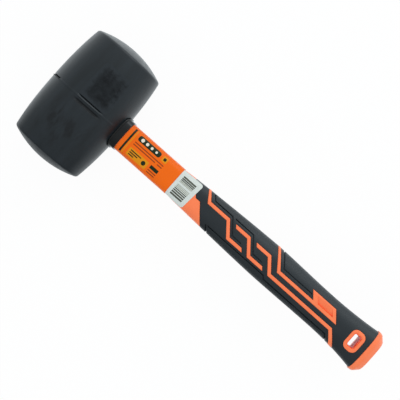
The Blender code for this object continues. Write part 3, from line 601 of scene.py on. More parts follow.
def groove_paths():
    paths = []
    for number, run in enumerate((FIRST_GROOVE_RUN, GROOVE_HIGH_RUN)):
        bend = ZIGZAG_BEND_X - number * ZIGZAG_PITCH - GROOVE_SHIFT
        low_bend = bend - (GROOVE_LOW_Y - GROOVE_HIGH_Y) / SLANT
        start = (bend + run, GROOVE_HIGH_Y)
        path = [start, (bend, GROOVE_HIGH_Y), (low_bend, GROOVE_LOW_Y)]
        path.append((low_bend - GROOVE_LOW_RUN, GROOVE_LOW_Y))
        paths.append(path)
    start_x, start_y = paths[0][0]
    paths[0].insert(0, (start_x + (start_y - FIRST_GROOVE_END_Y) / SLANT, FIRST_GROOVE_END_Y))
    upper = (UPPER_GROOVE_X, UPPER_GROOVE_Y)
    panel_edge = PANEL_END_X + PANEL_LENGTH + (SECOND_STRIPE_Y - UPPER_GROOVE_Y) / SLANT
    upper_end = (panel_edge + UPPER_GROOVE_GAP, UPPER_GROOVE_Y)
    paths.append([leave_side(*upper, -UPPER_EXIT_SLANT), upper, upper_end])
    edge_start = (EDGE_GROOVE_START_X, EDGE_GROOVE_Y)
    step_end = EDGE_GROOVE_STEP_X - (EDGE_GROOVE_LOW_Y - EDGE_GROOVE_Y) / SLANT
    edge_end = (EDGE_GROOVE_END_X, EDGE_GROOVE_LOW_Y)
    paths.append([leave_side(*edge_start, SLANT), edge_start])
    path = [(EDGE_GROOVE_START_X - EDGE_GROOVE_BREAK, EDGE_GROOVE_Y), (EDGE_GROOVE_STEP_X, EDGE_GROOVE_Y)]
    path += [(step_end, EDGE_GROOVE_LOW_Y), edge_end, leave_side(*edge_end, LOWER_EXIT_SLANT)]
    paths.append(path)
    return paths


def grip_region(pull_back=0.0):
    """Outline of the space that the grip fills, with its stepped, slanted upper edge."""
    step_x = GRIP_TOP_X + pull_back * (1 - math.hypot(1, SLANT)) / SLANT
    upper = (step_x + GRIP_TOP_STEP / 2, GRIP_TOP_Y - pull_back)
    lower = (step_x - GRIP_TOP_STEP / 2, GRIP_TOP_Y - pull_back)
    return [(-FAR, -FAR), leave_side(*upper, -SLANT), upper, lower, leave_side(*lower, SLANT), (-FAR, FAR)]


def stripe_outlines(grow=0.0):
    outlines = [stripe(zigzag_path(number), ZIGZAG_WIDTH, grow, (0.0, SIDE_TAPER)) for number in range(3)]
    outlines.append(stripe(second_stripe_path(), SECOND_STRIPE_WIDTH, grow, (SIDE_TAPER / 2, 0.0)))
    outlines.append(panel_outline(grow))
    return outlines


def groove_outlines(grow=0.0):
    return [stripe(path, GROOVE_WIDTH, grow) for path in groove_paths()]


def boss_outline(grow=0.0):
    return rounded_rectangle((SLOT_X, SLOT_Y), BOSS_SIZE, grow)


def slot_outline(grow=0.0):
    return rounded_rectangle((SLOT_X, SLOT_Y), SLOT_SIZE, grow)


def inside(outline, point):
    """True if the point is within the outline, seen from above."""
    x, y, within = point.x, point.y, False
    for (ax, ay), (bx, by) in zip(outline, outline[1:] + outline[:1]):
        if (ay > y) != (by > y) and x < ax + (y - ay) * (bx - ax) / (by - ay):
            within = not within
    return within


def distance(outline, point):
    """Distance from a point to an outline's nearest edge, seen from above."""
    x, y, nearest = point.x, point.y, 1.0
    for (ax, ay), (bx, by) in zip(outline, outline[1:] + outline[:1]):
        dx, dy = bx - ax, by - ay
        length = dx * dx + dy * dy
        share = 0.0 if length == 0 else clamped(((x - ax) * dx + (y - ay) * dy) / length)
        nearest = min(nearest, math.hypot(x - ax - share * dx, y - ay - share * dy))
    return nearest


# Mesh making

def wrapped_sheet(stations, place):
    """An open sleeve of quads round the handle, each point put where place(station, angle) says."""
    bm = bmesh.new()
    rows = len(stations) - 1
    bmesh.ops.create_grid(bm, x_segments=rows, y_segments=AROUND, size=0.5)
    for vert in bm.verts:
        row, column = round((vert.co.x + 0.5) * rows), round((vert.co.y + 0.5) * AROUND)
        vert.co = place(stations[row], 2 * math.pi * (column % AROUND) / AROUND)
    bmesh.ops.remove_doubles(bm, verts=bm.verts, dist=SNAP / 10)
    face_outwards(bm)
    return bm


def face_outwards(bm):
    """Turns the faces of an open sheet round the handle away from the handle's axis."""
    bmesh.ops.recalc_face_normals(bm, faces=bm.faces)
    bm.faces.ensure_lookup_table()
    middle = bm.faces[0].calc_center_median()
    if bm.faces[0].normal.dot(Vector((0.0, middle.y, middle.z))) < 0:
        bmesh.ops.reverse_faces(bm, faces=bm.faces)


def steps_between(low, high, step):
    count = max(1, round((high - low) / step))
    return [low + (high - low) * i / count for i in range(count + 1)]


def faces_near(faces, corners, lowest_z):
    """The faces whose middle is within the box round some points seen from above, or close to it."""
    xs, ys = [x for x, _ in corners], [y for _, y in corners]
    low_x, high_x, low_y, high_y = min(xs) - REACH, max(xs) + REACH, min(ys) - REACH, max(ys) + REACH
    found = []
    for face in faces:
        middle = face.calc_center_median()
        if low_x < middle.x < high_x and low_y < middle.y < high_y and middle.z > lowest_z:
            found.append(face)
    return found


def cut_upright(bm, outline, lowest_z=-1.0):
    """Cuts a surface along the upright walls over an outline seen from above."""
    around = dict.fromkeys(faces_near(bm.faces, outline, lowest_z))
    for start, end in zip(outline, outline[1:] + outline[:1]):
        faces = faces_near(around, (start, end), lowest_z)
        if not faces:
            continue
        edges = dict.fromkeys(edge for face in faces for edge in face.edges)
        verts = dict.fromkeys(vert for face in faces for vert in face.verts)
        cut = bmesh.ops.bisect_plane(
            bm,
            geom=faces + list(edges) + list(verts),
            dist=SNAP,
            plane_co=(*start, 0),
            plane_no=Vector((start[1] - end[1], end[0] - start[0], 0)).normalized(),
        )
        new_faces = (item for item in cut["geom"] if isinstance(item, bmesh.types.BMFace))
        around.update(dict.fromkeys(new_faces))


def rounded_down(reach, radius):
    """How far a rounded edge has dropped, at a distance reach in from it."""
    if reach >= radius:
        return 0.0
    return radius - math.sqrt(radius * radius - (radius - reach) ** 2)


def raised_copy(source, region, relief, lowest_z=-1.0):
    """One region of a surface with a second skin over it, raised by relief, and the points underneath."""
    bm = source.copy()
    layer = bm.faces.layers.int["region"]
    outward = bm.verts.layers.float_vector["outward"]
    unwanted = [f for f in bm.faces if f[layer] != region or f.calc_center_median().z < lowest_z]
    bmesh.ops.delete(bm, geom=unwanted, context="FACES")
    under = list(bm.verts)
    grown = bmesh.ops.extrude_face_region(
        bm, geom=list(bm.faces) + list(bm.edges) + list(bm.verts), use_keep_orig=True
    )
    for vert in grown["geom"]:
        if isinstance(vert, bmesh.types.BMVert):
            vert.co += vert[outward] * relief(vert.co)
    return bm, under


def thickened(source, region, relief, depth):
    """One region of a surface as a closed layer: raised by relief, and depth thick below the surface."""
    bm, under = raised_copy(source, region, relief)
    outward = bm.verts.layers.float_vector["outward"]
    for vert in under:
        vert.co -= vert[outward] * depth
    bmesh.ops.recalc_face_normals(bm, faces=bm.faces)
    return bm


def mark_surface(bm, region_of):
    """Stores each face's region, and each point's outward direction."""
    bm.normal_update()
    region = bm.faces.layers.int.new("region")
    outward = bm.verts.layers.float_vector.new("outward")
    for face in bm.faces:
        face[region] = region_of(face.calc_center_median())
    for vert in bm.verts:
        vert[outward] = vert.normal
    return bm


def add_to(bm, other):
    """Adds another mesh's pieces to bm."""
    mesh = bpy.data.meshes.new("part")
    other.to_mesh(mesh)
    other.free()
    bm.from_mesh(mesh)
    bpy.data.meshes.remove(mesh)


def place_object(name, data):
    obj = bpy.data.objects.new(name, data)
    bpy.context.scene.collection.objects.link(obj)
    return obj


def made_of(name, bm, *materials):
    """Puts a shape into the scene as an object, with its materials."""
    mesh = bpy.data.meshes.new(name)
    bm.to_mesh(mesh)
    bm.free()
    for material in materials:
        mesh.materials.append(material)
    return place_object(name, mesh)


def finished(name, bm, materials, slot, *nodes):
    """Makes a piece that rides on the mallet and stands for the named CAD nodes."""
    obj = made_of(name, bm, *materials)
    obj.data.shade_smooth()
    obj.data.set_sharp_from_angle(angle=math.radians(SHARP_ANGLE))
    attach(obj, "root")
    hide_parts(*nodes)
    return obj


# Head

def barrel(y):
    rim_y = HEAD_LENGTH / 2 - FACE_CROWN
    return GIRTH_RADIUS - (GIRTH_RADIUS - FACE_RADIUS) * (abs(y) / rim_y) ** BARREL_POWER


def head_profile():
    """Half section of the head, as (distance along its axis, radius), from the girth to the face's middle."""
    rim_y = HEAD_LENGTH / 2 - FACE_CROWN
    crown_radius = (FACE_RADIUS**2 + FACE_CROWN**2) / (2 * FACE_CROWN)

    def crown(radius):
        return HEAD_LENGTH / 2 - crown_radius + math.sqrt(crown_radius**2 - radius**2)

    half = [(y, barrel(y)) for y in steps_between(0.0, SEAM_REACH, SEAM_STEP)]
    half += [(y, barrel(y)) for y in steps_between(SEAM_REACH, rim_y - RIM_SETBACK, HEAD_STEP)[1:]]
    start, corner = half[-1], (rim_y, FACE_RADIUS)
    end = (crown(FACE_RADIUS - RIM_SETBACK), FACE_RADIUS - RIM_SETBACK)
    for i in range(1, RIM_STEPS + 1):
        t = i / RIM_STEPS
        weights = ((1 - t) ** 2, 2 * t * (1 - t), t * t)
        half.append(tuple(sum(w * p[k] for w, p in zip(weights, (start, corner, end))) for k in (0, 1)))
    half += [(crown(r), r) for r in reversed(steps_between(0.0, end[1], HEAD_STEP)[:-1])]
    return half


def hump(y, middle, half_width):
    """1 at the middle, falling smoothly to 0 at half_width to either side."""
    share = min(1.0, abs(y - middle) / half_width)
    return 0.5 + 0.5 * math.cos(math.pi * share)


def sunk(y, middle, half_width, depth):
    """Depth of a hollow across the bead, from sizes in mm."""
    return depth * MM * hump(y, middle * MM, half_width * MM)


def seam_relief(y, facing):
    """Height of the bead round the girth: a low line, a raised run between recesses, and a slit fin."""
    aside = abs(facing.x * GIRTH_RADIUS + SEAM_MIDDLE)
    raised = clamped((SEAM_HALF_RUN - aside) / SEAM_RUN_FADE + 0.5)
    raised *= raised * (3 - 2 * raised)
    turn = math.degrees(math.atan2(facing.x, abs(facing.z)))
    fin = clamped((turn - FIN_TURN) / TURN_FADE)
    slit = fin * clamped((SLIT_END_TURN - turn) / TURN_FADE)
    low, low_width = LOW_LINE
    height = low * hump(y, 0.0, low_width * BEAD_HALF_WIDTH) * (1.0 - raised) * (1.0 - fin)
    height += hump(y, 0.0, RAISED_WIDTH * BEAD_HALF_WIDTH) * raised
    height += hump(y, 0.0, FIN_WIDTH * BEAD_HALF_WIDTH) * fin
    recess = sunk(y, *RECESS_ABOVE) + sunk(y, *RECESS_BELOW)
    return BEAD_HEIGHT * height - recess * raised - sunk(y, *FIN_SLIT) * slit


def make_head(rubber, matt_rubber):
    """The head: barrel, rounded rims, crowned faces and the bead where the mould's halves met."""
    half = head_profile()
    points = [(-y, radius) for y, radius in reversed(half[1:])] + half
    bm = bmesh.new()
    verts = [bm.verts.new((HEAD_REACH + radius, y, 0.0)) for y, radius in points]
    for pair in zip(verts, verts[1:]):
        bm.edges.new(pair)
    bmesh.ops.spin(
        bm,
        geom=list(bm.verts) + list(bm.edges),
        cent=(HEAD_REACH, 0, 0),
        axis=(0, 1, 0),
        angle=2 * math.pi,
        steps=HEAD_SEGMENTS,
        use_merge=True,
    )
    bmesh.ops.remove_doubles(bm, verts=bm.verts, dist=SNAP / 10)
    for vert in bm.verts:
        if abs(vert.co.y) < SEAM_REACH:
            facing = Vector((vert.co.x - HEAD_REACH, 0.0, vert.co.z)).normalized()
            vert.co += facing * seam_relief(vert.co.y, facing)
    panel = rounded_rectangle(*MOULD_PANEL)
    cut_upright(bm, panel, lowest_z=PANEL_LOWEST_Z)
    for vert in bm.verts:
        if vert.co.z > PANEL_LOWEST_Z and inside(panel, vert.co):
            vert.co.z -= PANEL_SINK * min(1.0, distance(panel, vert.co) / MM)
    for face in bm.faces:
        middle = face.calc_center_median()
        face.material_index = int(middle.z > PANEL_LOWEST_Z and inside(panel, middle))
    bmesh.ops.recalc_face_normals(bm, faces=bm.faces)
    head = finished("mallet_head", bm, [rubber, matt_rubber], "moulded_rubber", "head")
    eye = bmesh.new()
    mouth = HEAD_REACH - GIRTH_RADIUS - EYE_CUT_MARGIN
    along_x = Matrix.Rotation(math.pi / 2, 4, "Y")
    bmesh.ops.create_cone(
        eye,
        cap_ends=True,
        segments=EYE_SEGMENTS,
        radius1=EYE_RADIUS,
        radius2=EYE_RADIUS,
        depth=EYE_END_X - mouth,
        matrix=Matrix.Translation(((EYE_END_X + mouth) / 2, 0, 0)) @ along_x,
    )
    carve(head, eye)


def carve(obj, shape):
    """Cuts a closed shape out of a piece, and keeps only the result."""
    cutter = made_of("cutter", shape)
    modifier = obj.modifiers.new("eye", "BOOLEAN")
    modifier.object = cutter
    modifier.operation = "DIFFERENCE"
    evaluated = obj.evaluated_get(bpy.context.evaluated_depsgraph_get())
    cut = bpy.data.meshes.new_from_object(evaluated)
    obj.modifiers.clear()
    obj.data = cut
    bpy.data.objects.remove(cutter)


# Handle

NECK, GRIP, STRIPE, BOSS, SLOT = range(5)


def handle_surface():
    """The handle's outer surface from the butt to the head, cut along every moulded edge."""
    grip_end = GRIP_TOP_X + FAR
    stations = steps_between(BUTT_LENGTH + BUTT_GAP, grip_end, GRIP_STEP)
    stations += steps_between(grip_end, NECK_END_X, NECK_STEP)[1:]
    bm = wrapped_sheet(stations, lambda x, angle: section_point(x, angle, *outline_at(x)))
    outlines = []
    for grow in (0.0, EDGE_ROUND, EDGE_ROUND / 4, -EDGE_ROUND, -EDGE_ROUND / 4):
        outlines += stripe_outlines(grow)
    for grow in (0.0, -EDGE_ROUND, -EDGE_ROUND / 4, EDGE_ROUND, EDGE_ROUND / 4):
        outlines.append(boss_outline(grow))
    for share in MOUTH_CUTS:
        outlines.append(slot_outline(SLOT_MOUTH * share))
    for grow in (0.0, -GROOVE_WALL, GROOVE_LIP[0]):
        outlines += groove_outlines(grow)
    for grow in (0.0, -GROOVE_WALL):
        outlines.append(pocket_outline(grow))
    outlines += [grip_region(), grip_region(EDGE_ROUND), grip_region(-EDGE_ROUND)]
    for outline in outlines:
        cut_upright(bm, outline)
    stripes, boss, slot, grip = stripe_outlines(), boss_outline(), slot_outline(), grip_region()

    def region_of(point):
        if inside(slot, point):
            return SLOT
        if inside(boss, point):
            return BOSS
        if not inside(grip, point):
            return NECK
        return STRIPE if any(inside(outline, point) for outline in stripes) else GRIP

    return mark_surface(bm, region_of)


def edge_drop(outlines, point, radius):
    """How far a surface has dropped at a point, rounded with a radius along the outlines."""
    return rounded_down(min([radius] + [distance(outline, point) for outline in outlines]), radius)


def grip_relief():
    """Height of the soft grip's skin: rounded along its edges, sunk in its grooves."""
    edges = stripe_outlines() + [boss_outline(), grip_region()]
    grooves = groove_outlines()

    def relief(point):
        height = -edge_drop(edges, point, EDGE_ROUND)
        for outline in grooves:
            reach = distance(outline, point)
            if inside(outline, point):
                return height - GROOVE_DEPTH * min(1.0, GROOVE_RIM + reach / GROOVE_WALL)
            if reach < SNAP:
                height -= GROOVE_LIP[1]
        return height

    return relief


def stripe_relief():
    """Height of the stripes and the panel: a little proud, with rounded edges and the sunk pocket."""
    edges = stripe_outlines()
    pocket = pocket_outline()
    low_y, high_y = PANEL_TOP_Y + POCKET_TOP_RIM, SECOND_STRIPE_Y - SECOND_STRIPE_WIDTH / 2
    shallow, deeper = POCKET_SLOPE

    def relief(point):
        height = STRIPE_PROUD
        # Where outlines overlap, the deepest counts, so that joined stripes have no seam
        deepest = max([0.0] + [distance(outline, point) for outline in edges if inside(outline, point)])
        if deepest <= EDGE_ROUND:
            height -= rounded_down(deepest, EDGE_ROUND)
        if inside(pocket, point):
            share = min(1.0, distance(pocket, point) / GROOVE_WALL)
            slope = shallow + deeper * (point.y - low_y) / (high_y - low_y)
            height -= POCKET_DEPTH * share * slope
        return height

    return relief


def boss_relief():
    boss, slot = [boss_outline()], [slot_outline()]

    def relief(point):
        height = STRIPE_PROUD - edge_drop(boss, point, EDGE_ROUND)
        return height - edge_drop(slot, point, SLOT_MOUTH)

    return relief


def neck_relief():
    edge = [grip_region()]
    return lambda point: -edge_drop(edge, point, EDGE_ROUND)


def slot_boss(surface):
    """The ring round the hanging slot, through the whole handle."""
    bm, under = raised_copy(surface, BOSS, boss_relief(), lowest_z=0.0)
    mouth = slot_outline(SNAP)
    for vert in under:
        vert.co.z = 0.0
        if inside(mouth, vert.co):
            vert.co.x += (SLOT_X - vert.co.x) * 2 * SLOT_DRAFT / SLOT_SIZE[0]
            vert.co.y += (SLOT_Y - vert.co.y) * 2 * SLOT_DRAFT / SLOT_SIZE[1]
    flat = [face for face in bm.faces if all(abs(vert.co.z) < SNAP for vert in face.verts)]
    bmesh.ops.delete(bm, geom=flat, context="FACES")
    bmesh.ops.mirror(
        bm, geom=list(bm.verts) + list(bm.edges) + list(bm.faces), axis="Z", merge_dist=SNAP
    )
    bmesh.ops.remove_doubles(bm, verts=bm.verts, dist=SNAP / 4)
    bmesh.ops.recalc_face_normals(bm, faces=bm.faces)
    return bm


def butt_block():
    """The butt: a flange below the grip, chamfered to its flat end face."""
    half_width, half_thickness = BUTT_HALF
    inset = BUTT_TAPER + BUTT_CHAMFER
    corners = [
        (0.0, inset + BUTT_LAP[0]),
        (0.0, inset),
        (BUTT_CHAMFER, BUTT_TAPER),
        (BUTT_LENGTH, 0.0),
        (BUTT_LENGTH, BUTT_LAP[1]),
    ]
    rings = [corners[0]]
    for before, corner, after in zip(corners, corners[1:], corners[2:]):
        corner = Vector(corner)
        start, end = (corner + (Vector(to) - corner).normalized() * BUTT_ROUND for to in (before, after))
        for i in range(ARC_STEPS + 1):
            t = i / ARC_STEPS
            rings.append(tuple(start * (1 - t) ** 2 + corner * 2 * t * (1 - t) + end * t * t))
    rings.append(corners[-1])

    def place(ring, angle):
        x, drawn_in = ring
        halves = (half_width - drawn_in, half_thickness - drawn_in)
        return section_point(x, angle, *halves, HEEL_SET, GRIP_POWER)

    bm = wrapped_sheet(rings, place)
    bmesh.ops.holes_fill(bm, edges=bm.edges, sides=0)
    bmesh.ops.recalc_face_normals(bm, faces=bm.faces)
    return bm


def make_handle(orange, orange_wall, soft_black):
    surface = handle_surface()
    grip = thickened(surface, GRIP, grip_relief(), SKIN_DEPTH)
    finished("soft_grip", grip, [soft_black], "soft_grip", "grip_sleeve")
    body = thickened(surface, STRIPE, stripe_relief(), SKIN_DEPTH)
    add_to(body, thickened(surface, NECK, neck_relief(), SKIN_DEPTH))
    add_to(body, slot_boss(surface))
    add_to(body, butt_block())
    slot = slot_outline(SLOT_MOUTH * SLOT_WALL_EDGE)
    for face in body.faces:
        middle = face.calc_center_median()
        if inside(slot, middle):
            face.material_index = 1
    finished("handle_moulding", body, [orange, orange_wall], "hard_orange", "handle_body")
    surface.free()


# Collar

def make_collar(black):
    """The collar on the neck's end, with a lip that follows the head's barrel."""
    def barrel_x(y, z):
        return HEAD_REACH - math.sqrt(barrel(y) ** 2 - z * z)

    low, edge, wall = COLLAR_LOW_X, COLLAR_EDGE, COLLAR_WALL
    lip, thickness = wall + COLLAR_LIP - COLLAR_LIP_ROUND, COLLAR_LIP_THICKNESS
    # A ring is (x, how far out from the neck, how far below the head's barrel). It follows the barrel if
    # its x is None.
    rings = [(low + edge, -COLLAR_GRASP, 0.0), (low, 0.15 * MM, 0.0)]
    for i in range(ARC_STEPS, -1, -1):
        turn = math.pi / 2 * i / ARC_STEPS
        rings.append((low + edge * (1 - math.sin(turn)), wall - edge * (1 - math.cos(turn)), 0.0))
    rings.append((None, wall, thickness + COLLAR_FILLET))
    rings.append((None, wall + 0.1 * MM, thickness + 0.1 * MM))
    rings.append((None, wall + COLLAR_FILLET, thickness))
    for i in range(ARC_STEPS + 1):
        turn = math.pi * i / ARC_STEPS
        out = lip + COLLAR_LIP_ROUND * math.sin(turn)
        rings.append((None, out, thickness / 2 * (1 + math.cos(turn))))
    rings += [(None, 0.0, 0.0), (None, -COLLAR_GRASP, 1.0 * MM)]

    def place(ring, angle):
        x, out, below = ring
        point = section_point(0.0, angle, NECK_HALF[0] + out, NECK_HALF[1] + out, 0.0, NECK_POWER)
        point.x = x if x is not None else barrel_x(point.y, point.z) - below - COLLAR_HEAD_GAP
        return point

    bm = wrapped_sheet(rings, place)
    ends = [edge for edge in bm.edges if edge.is_boundary]
    bmesh.ops.bridge_loops(bm, edges=ends)
    bmesh.ops.recalc_face_normals(bm, faces=bm.faces)
    finished("neck_ring", bm, [black], "hard_black", "neck_collar")


# Labels

girth_tables = {}


def girth_table(x):
    """Arc lengths round the handle at x from the middle of its top, negative towards -Y, and their angles."""
    key = round(x / GIRTH_TABLE_STEP)
    if key in girth_tables:
        return girth_tables[key]
    outline = outline_at(x)
    turns = [math.radians(turn) for turn in range(90, -91, -2)]
    points = [section_point(x, turn, *outline) for turn in turns]
    lengths = [0.0]
    for before, after in zip(points, points[1:]):
        lengths.append(lengths[-1] + (after - before).length)
    table = [(-length, math.pi - turn) for length, turn in zip(lengths, turns)][:0:-1]
    girth_tables[key] = table + list(zip(lengths, turns))
    return girth_tables[key]


def wrapped(x, along):
    """The point of the handle's surface at x, an arc length from the middle of its top."""
    table = girth_table(x)
    if along < table[0][0]:
        along += table[-1][0] - table[0][0]
    low, high = 0, len(table) - 1
    while high - low > 1:
        middle = (low + high) // 2
        if table[middle][0] > along:
            high = middle
        else:
            low = middle
    (a, turn_a), (b, turn_b) = table[low], table[high]
    return section_point(x, turn_a + (turn_b - turn_a) * (along - a) / (b - a), *outline_at(x))


def arc_to(x, y):
    """The arc length from the middle of the top to where the upper surface is at y."""
    for (a, turn_a), (b, turn_b) in zip(girth_table(x), girth_table(x)[1:]):
        y_a, y_b = (section_point(x, turn, *outline_at(x)).y for turn in (turn_a, turn_b))
        if a >= 0 and y_a <= y < y_b:
            return a + (b - a) * (y - y_a) / (y_b - y_a)
    return 0.0


def flat_sheet(low_x, high_x, low, high, step):
    """A label before it is stuck on: flat, with Y as the arc length round the handle."""
    bm = bmesh.new()
    columns, rows = round((high_x - low_x) / step), round((high - low) / LABEL_STEP)
    bmesh.ops.create_grid(bm, x_segments=columns, y_segments=rows, size=0.5)
    bmesh.ops.translate(bm, verts=bm.verts, vec=(0.5, 0.5, 0.0))
    bmesh.ops.scale(bm, verts=bm.verts, vec=(high_x - low_x, high - low, 1.0))
    bmesh.ops.translate(bm, verts=bm.verts, vec=(low_x, low, 0.0))
    return bm


def stick_on(name, bm, materials, slot, node):
    """Lays a flat label on the handle's surface, and gives it its thickness."""
    for vert in bm.verts:
        vert.co = wrapped(vert.co.x, vert.co.y)
    face_outwards(bm)
    mark_surface(bm, lambda point: NECK)
    label = thickened(bm, NECK, lambda point: LABEL_OUT, -LABEL_IN)
    finished(name, label, materials, slot, node)


def print_on(bm, marks):
    """Cuts the marks into a flat label and gives each its ink. A mark is (material number, outline)."""
    for _, outline in marks:
        cut_upright(bm, outline)
    for face in bm.faces:
        middle = face.calc_center_median()
        for ink, outline in marks:
            if inside(outline, middle):
                face.material_index = ink


def bar(x, y, length, height):
    """A bar printed from x towards the butt and y towards +Y."""
    return [(x, y), (x - length, y), (x - length, y + height), (x, y + height)]


def disc(x, y, radius, points=20):
    turns = [2 * math.pi * i / points for i in range(points)]
    return [(x + radius * math.cos(turn), y + radius * math.sin(turn)) for turn in turns]


def wrap_marks():
    """The wrap's print: plain shapes in green-black, brown, amber and cream."""
    top = WRAP_LABEL_X[1]
    green, brown, amber, cream = 1, 2, 3, 4
    marks = []  # sizes in mm, from the wrap's upper end

    def put(ink, along, across, length, height):
        marks.append((ink, bar(top - along * MM, across * MM, length * MM, height * MM)))

    put(green, 3.2, -10.1, 1.6, 20.2)
    put(amber, 5.5, -10.1, 0.8, 20.2)
    pill = rounded_rectangle((top - 19.0 * MM, -6.6 * MM), (20.4 * MM, 4.4 * MM, 1.6 * MM))
    marks.append((green, pill))
    for i in range(4):
        marks.append((cream, disc(top - (12.5 + 4.3 * i) * MM, -6.6 * MM, (1.35 - 0.15 * i) * MM)))
    put(amber, 31.2, -8.8, 4.4, 4.4)
    put(green, 32.3, -7.7, 2.2, 2.2)
    put(brown, 8.8, -2.7, 26.8, 0.8)
    put(brown, 8.8, -0.8, 20.5, 0.8)
    put(brown, 31.2, -0.8, 4.4, 0.8)
    put(amber, 8.8, 2.4, 17.6, 6.2)
    for i in range(3):
        put(green, 10.3, 3.5 + 1.6 * i, 9.6 - 2.4 * i, 0.8)
    marks.append((green, disc(top - 23.2 * MM, 5.5 * MM, 1.7 * MM)))
    put(green, 28.4, 2.4, 7.2, 2.6)
    put(brown, 28.4, 6.0, 7.2, 0.8)
    put(brown, 28.4, 7.8, 7.2, 0.8)
    return marks


def make_labels(inks, papers):
    low_x, high_x = WRAP_LABEL_X
    bottom = girth_table(high_x)[-1][0]
    wrap = flat_sheet(low_x, high_x, WRAP_SEAM - 1.5 * bottom, bottom / 2, WRAP_STEP)
    print_on(wrap, wrap_marks())
    stick_on("neck_wrap", wrap, inks, "printed_film", "wrap_label")

    low_x, high_x = CODE_LABEL_X
    side = arc_to(sum(CODE_LABEL_X) / 2, CODE_LABEL_Y)
    code = flat_sheet(low_x, high_x, -side, side, CODE_LABEL_STEP)
    outline = rounded_rectangle((high_x, 0.0), (2 * (high_x - low_x), 2 * side, CODE_LABEL_CORNER))
    cut_upright(code, outline)
    outside = [face for face in code.faces if not inside(outline, face.calc_center_median())]
    bmesh.ops.delete(code, geom=outside, context="FACES")
    marks = []
    for across, gap, heights in HATCHES:
        for height in heights:
            ink = 1 if height > BOLD_BAR else 2
            marks.append((ink, bar(high_x - HATCH_START, across * MM, HATCH_LENGTH, height * MM)))
            across += height + gap
    print_on(code, marks)
    for vert in code.verts:
        share = (high_x - vert.co.x) / (high_x - low_x)
        vert.co.x += share * (CODE_LABEL_SKEW[0] + CODE_LABEL_SKEW[1] * vert.co.y)
        vert.co.y += CODE_LABEL_SHIFT
    stick_on("neck_small_label", code, papers, "label_paper", "code_label")


# Stage

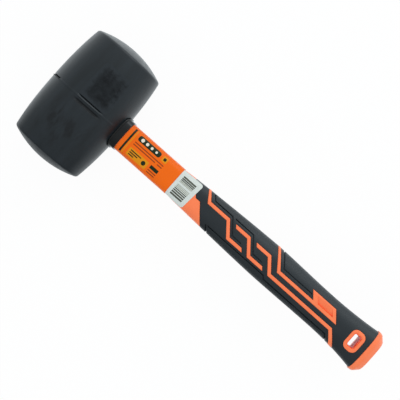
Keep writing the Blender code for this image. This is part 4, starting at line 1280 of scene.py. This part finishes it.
def make_stage():
    """A white floor, a white surround and soft light from above the head's upper end."""
    bm = bmesh.new()
    bmesh.ops.create_grid(bm, x_segments=1, y_segments=1, size=FLOOR_HALF)
    bmesh.ops.translate(bm, verts=bm.verts, vec=(STAGE_X, 0.0, FLOOR_Z))
    material, tree, shader, place, _ = new_finish("paper_floor", "#f2f2f2", 0.9, 1.5, 0.0)
    rays = add_node(tree, "LightPath").outputs
    camera_ray = rays["Is Camera Ray"]
    seen = add_node(tree, "Math", (camera_ray, rays["Is Glossy Ray"]), operation="ADD")
    seen = add_node(tree, "Math", (seen, rays["Is Transmission Ray"]), operation="ADD")
    across = add_node(tree, "SeparateXYZ", (place,)).outputs["Y"]
    falloff = add_node(tree, "MapRange", (across, *FALLOFF, *FLOOR_SHEEN))
    strength = add_node(tree, "Mix", {"Factor": camera_ray, "A": falloff, "B": 1.0})
    tint = add_node(tree, "Mix", {"Factor": camera_ray, "A": TENT_COLOUR, "B": WHITE}, data_type="RGBA")
    white = add_node(tree, "Emission", {"Color": tint, "Strength": strength})
    share = add_node(tree, "MapRange", (seen, 0.0, 1.0, 0.0, FLOOR_GLOW))
    plug(tree.nodes["Material Output"], {"Surface": add_node(tree, "MixShader", (share, shader, white))})
    floor = made_of("floor", bm, material)

    world = bpy.data.worlds.new("studio")
    bpy.context.scene.world = world
    world.use_nodes = True
    tree = world.node_tree
    toward = add_node(tree, "TexCoord").outputs["Generated"]
    side = add_node(tree, "SeparateXYZ", (toward,)).outputs["Y"]
    strip = add_node(tree, "MapRange", (side, 1.0, -1.0, 0.0, 1.0))
    strip = add_node(tree, "Math", (strip, STRIP_FALLOFF), operation="POWER")
    tent = add_node(tree, "MapRange", (strip, 0.0, 1.0, *TENT_LEVELS))
    rays = add_node(tree, "LightPath").outputs
    lit = add_node(tree, "Mix", {"Factor": rays["Is Glossy Ray"], "A": TENT_LIGHT, "B": tent})
    seen = (rays["Is Camera Ray"], rays["Is Transmission Ray"])
    seen = add_node(tree, "Math", seen, operation="MAXIMUM")
    level = add_node(tree, "Math", (seen, lit), operation="MAXIMUM")
    tint = add_node(tree, "Mix", {"Factor": seen, "A": TENT_COLOUR, "B": WHITE}, data_type="RGBA")
    plug(tree.nodes["Background"], {"Color": tint, "Strength": level})

    lamp = bpy.data.lights.new("soft_box", "AREA")
    lamp.shape = "RECTANGLE"
    lamp.size, lamp.size_y = LAMP_SIZE
    lamp.energy = LAMP_WATTS
    light = place_object("soft_box", lamp)
    light.location = LAMP_PLACE
    light.rotation_euler = (Vector((STAGE_X, 0, 0)) - LAMP_PLACE).to_track_quat("-Z", "Y").to_euler()


def make_camera():
    """Looks down on the mallet, turned so that the handle runs down to the right."""
    turn = math.radians(CAMERA_TURN)
    back = (CAMERA_PLACE - CAMERA_TARGET).normalized()
    right = Vector((math.sin(turn), -math.cos(turn), 0.0)).cross(back).normalized()
    axes = Matrix((right, back.cross(right), back)).transposed().to_4x4()
    data = bpy.data.cameras.new("camera")
    data.sensor_width = CAMERA_SENSOR
    data.lens = CAMERA_LENS
    camera = place_object("camera", data)
    camera.matrix_world = Matrix.Translation(CAMERA_PLACE) @ axes
    bpy.context.scene.camera = camera


def main():
    make_camera()
    make_stage()
    rubber, soft_black, orange, black = moulded_rubber(), soft_grip(), hard_orange(), gloss_black()
    make_head(rubber, eroded_rubber_painted_reflection())
    make_handle(orange, shutoff_orange_with_shade(), soft_black)
    make_collar(black)
    inks = [
        film("film_orange", "#ee6500"),
        film("ink_green_black", "#14250f"),
        film("ink_brown", "#8c3a10"),
        film("ink_amber", "#dc8a04"),
        film("ink_cream", "#e6dcc8"),
    ]
    papers = [
        label_paper("paper_white", "#cbcfc9", "#d6dad4"),
        label_paper("paper_grey_ink", "#45473d", "#54564a"),
        label_paper("paper_pale_ink", "#8a8b7b", "#999a89"),
    ]
    make_labels(inks, papers)
    rod = hidden_core("glass_fibre_rod", "#c9c48f", 0.4, "#b3ad78")
    resin = hidden_core("cast_resin", "#b9a35a", 0.25, "#a8924c")
    for node, material in (("core_rod", rod), ("eye_resin", resin)):
        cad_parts[node].material_slots[0].material = material
    bpy.context.scene.view_settings.view_transform = "Standard"


main()
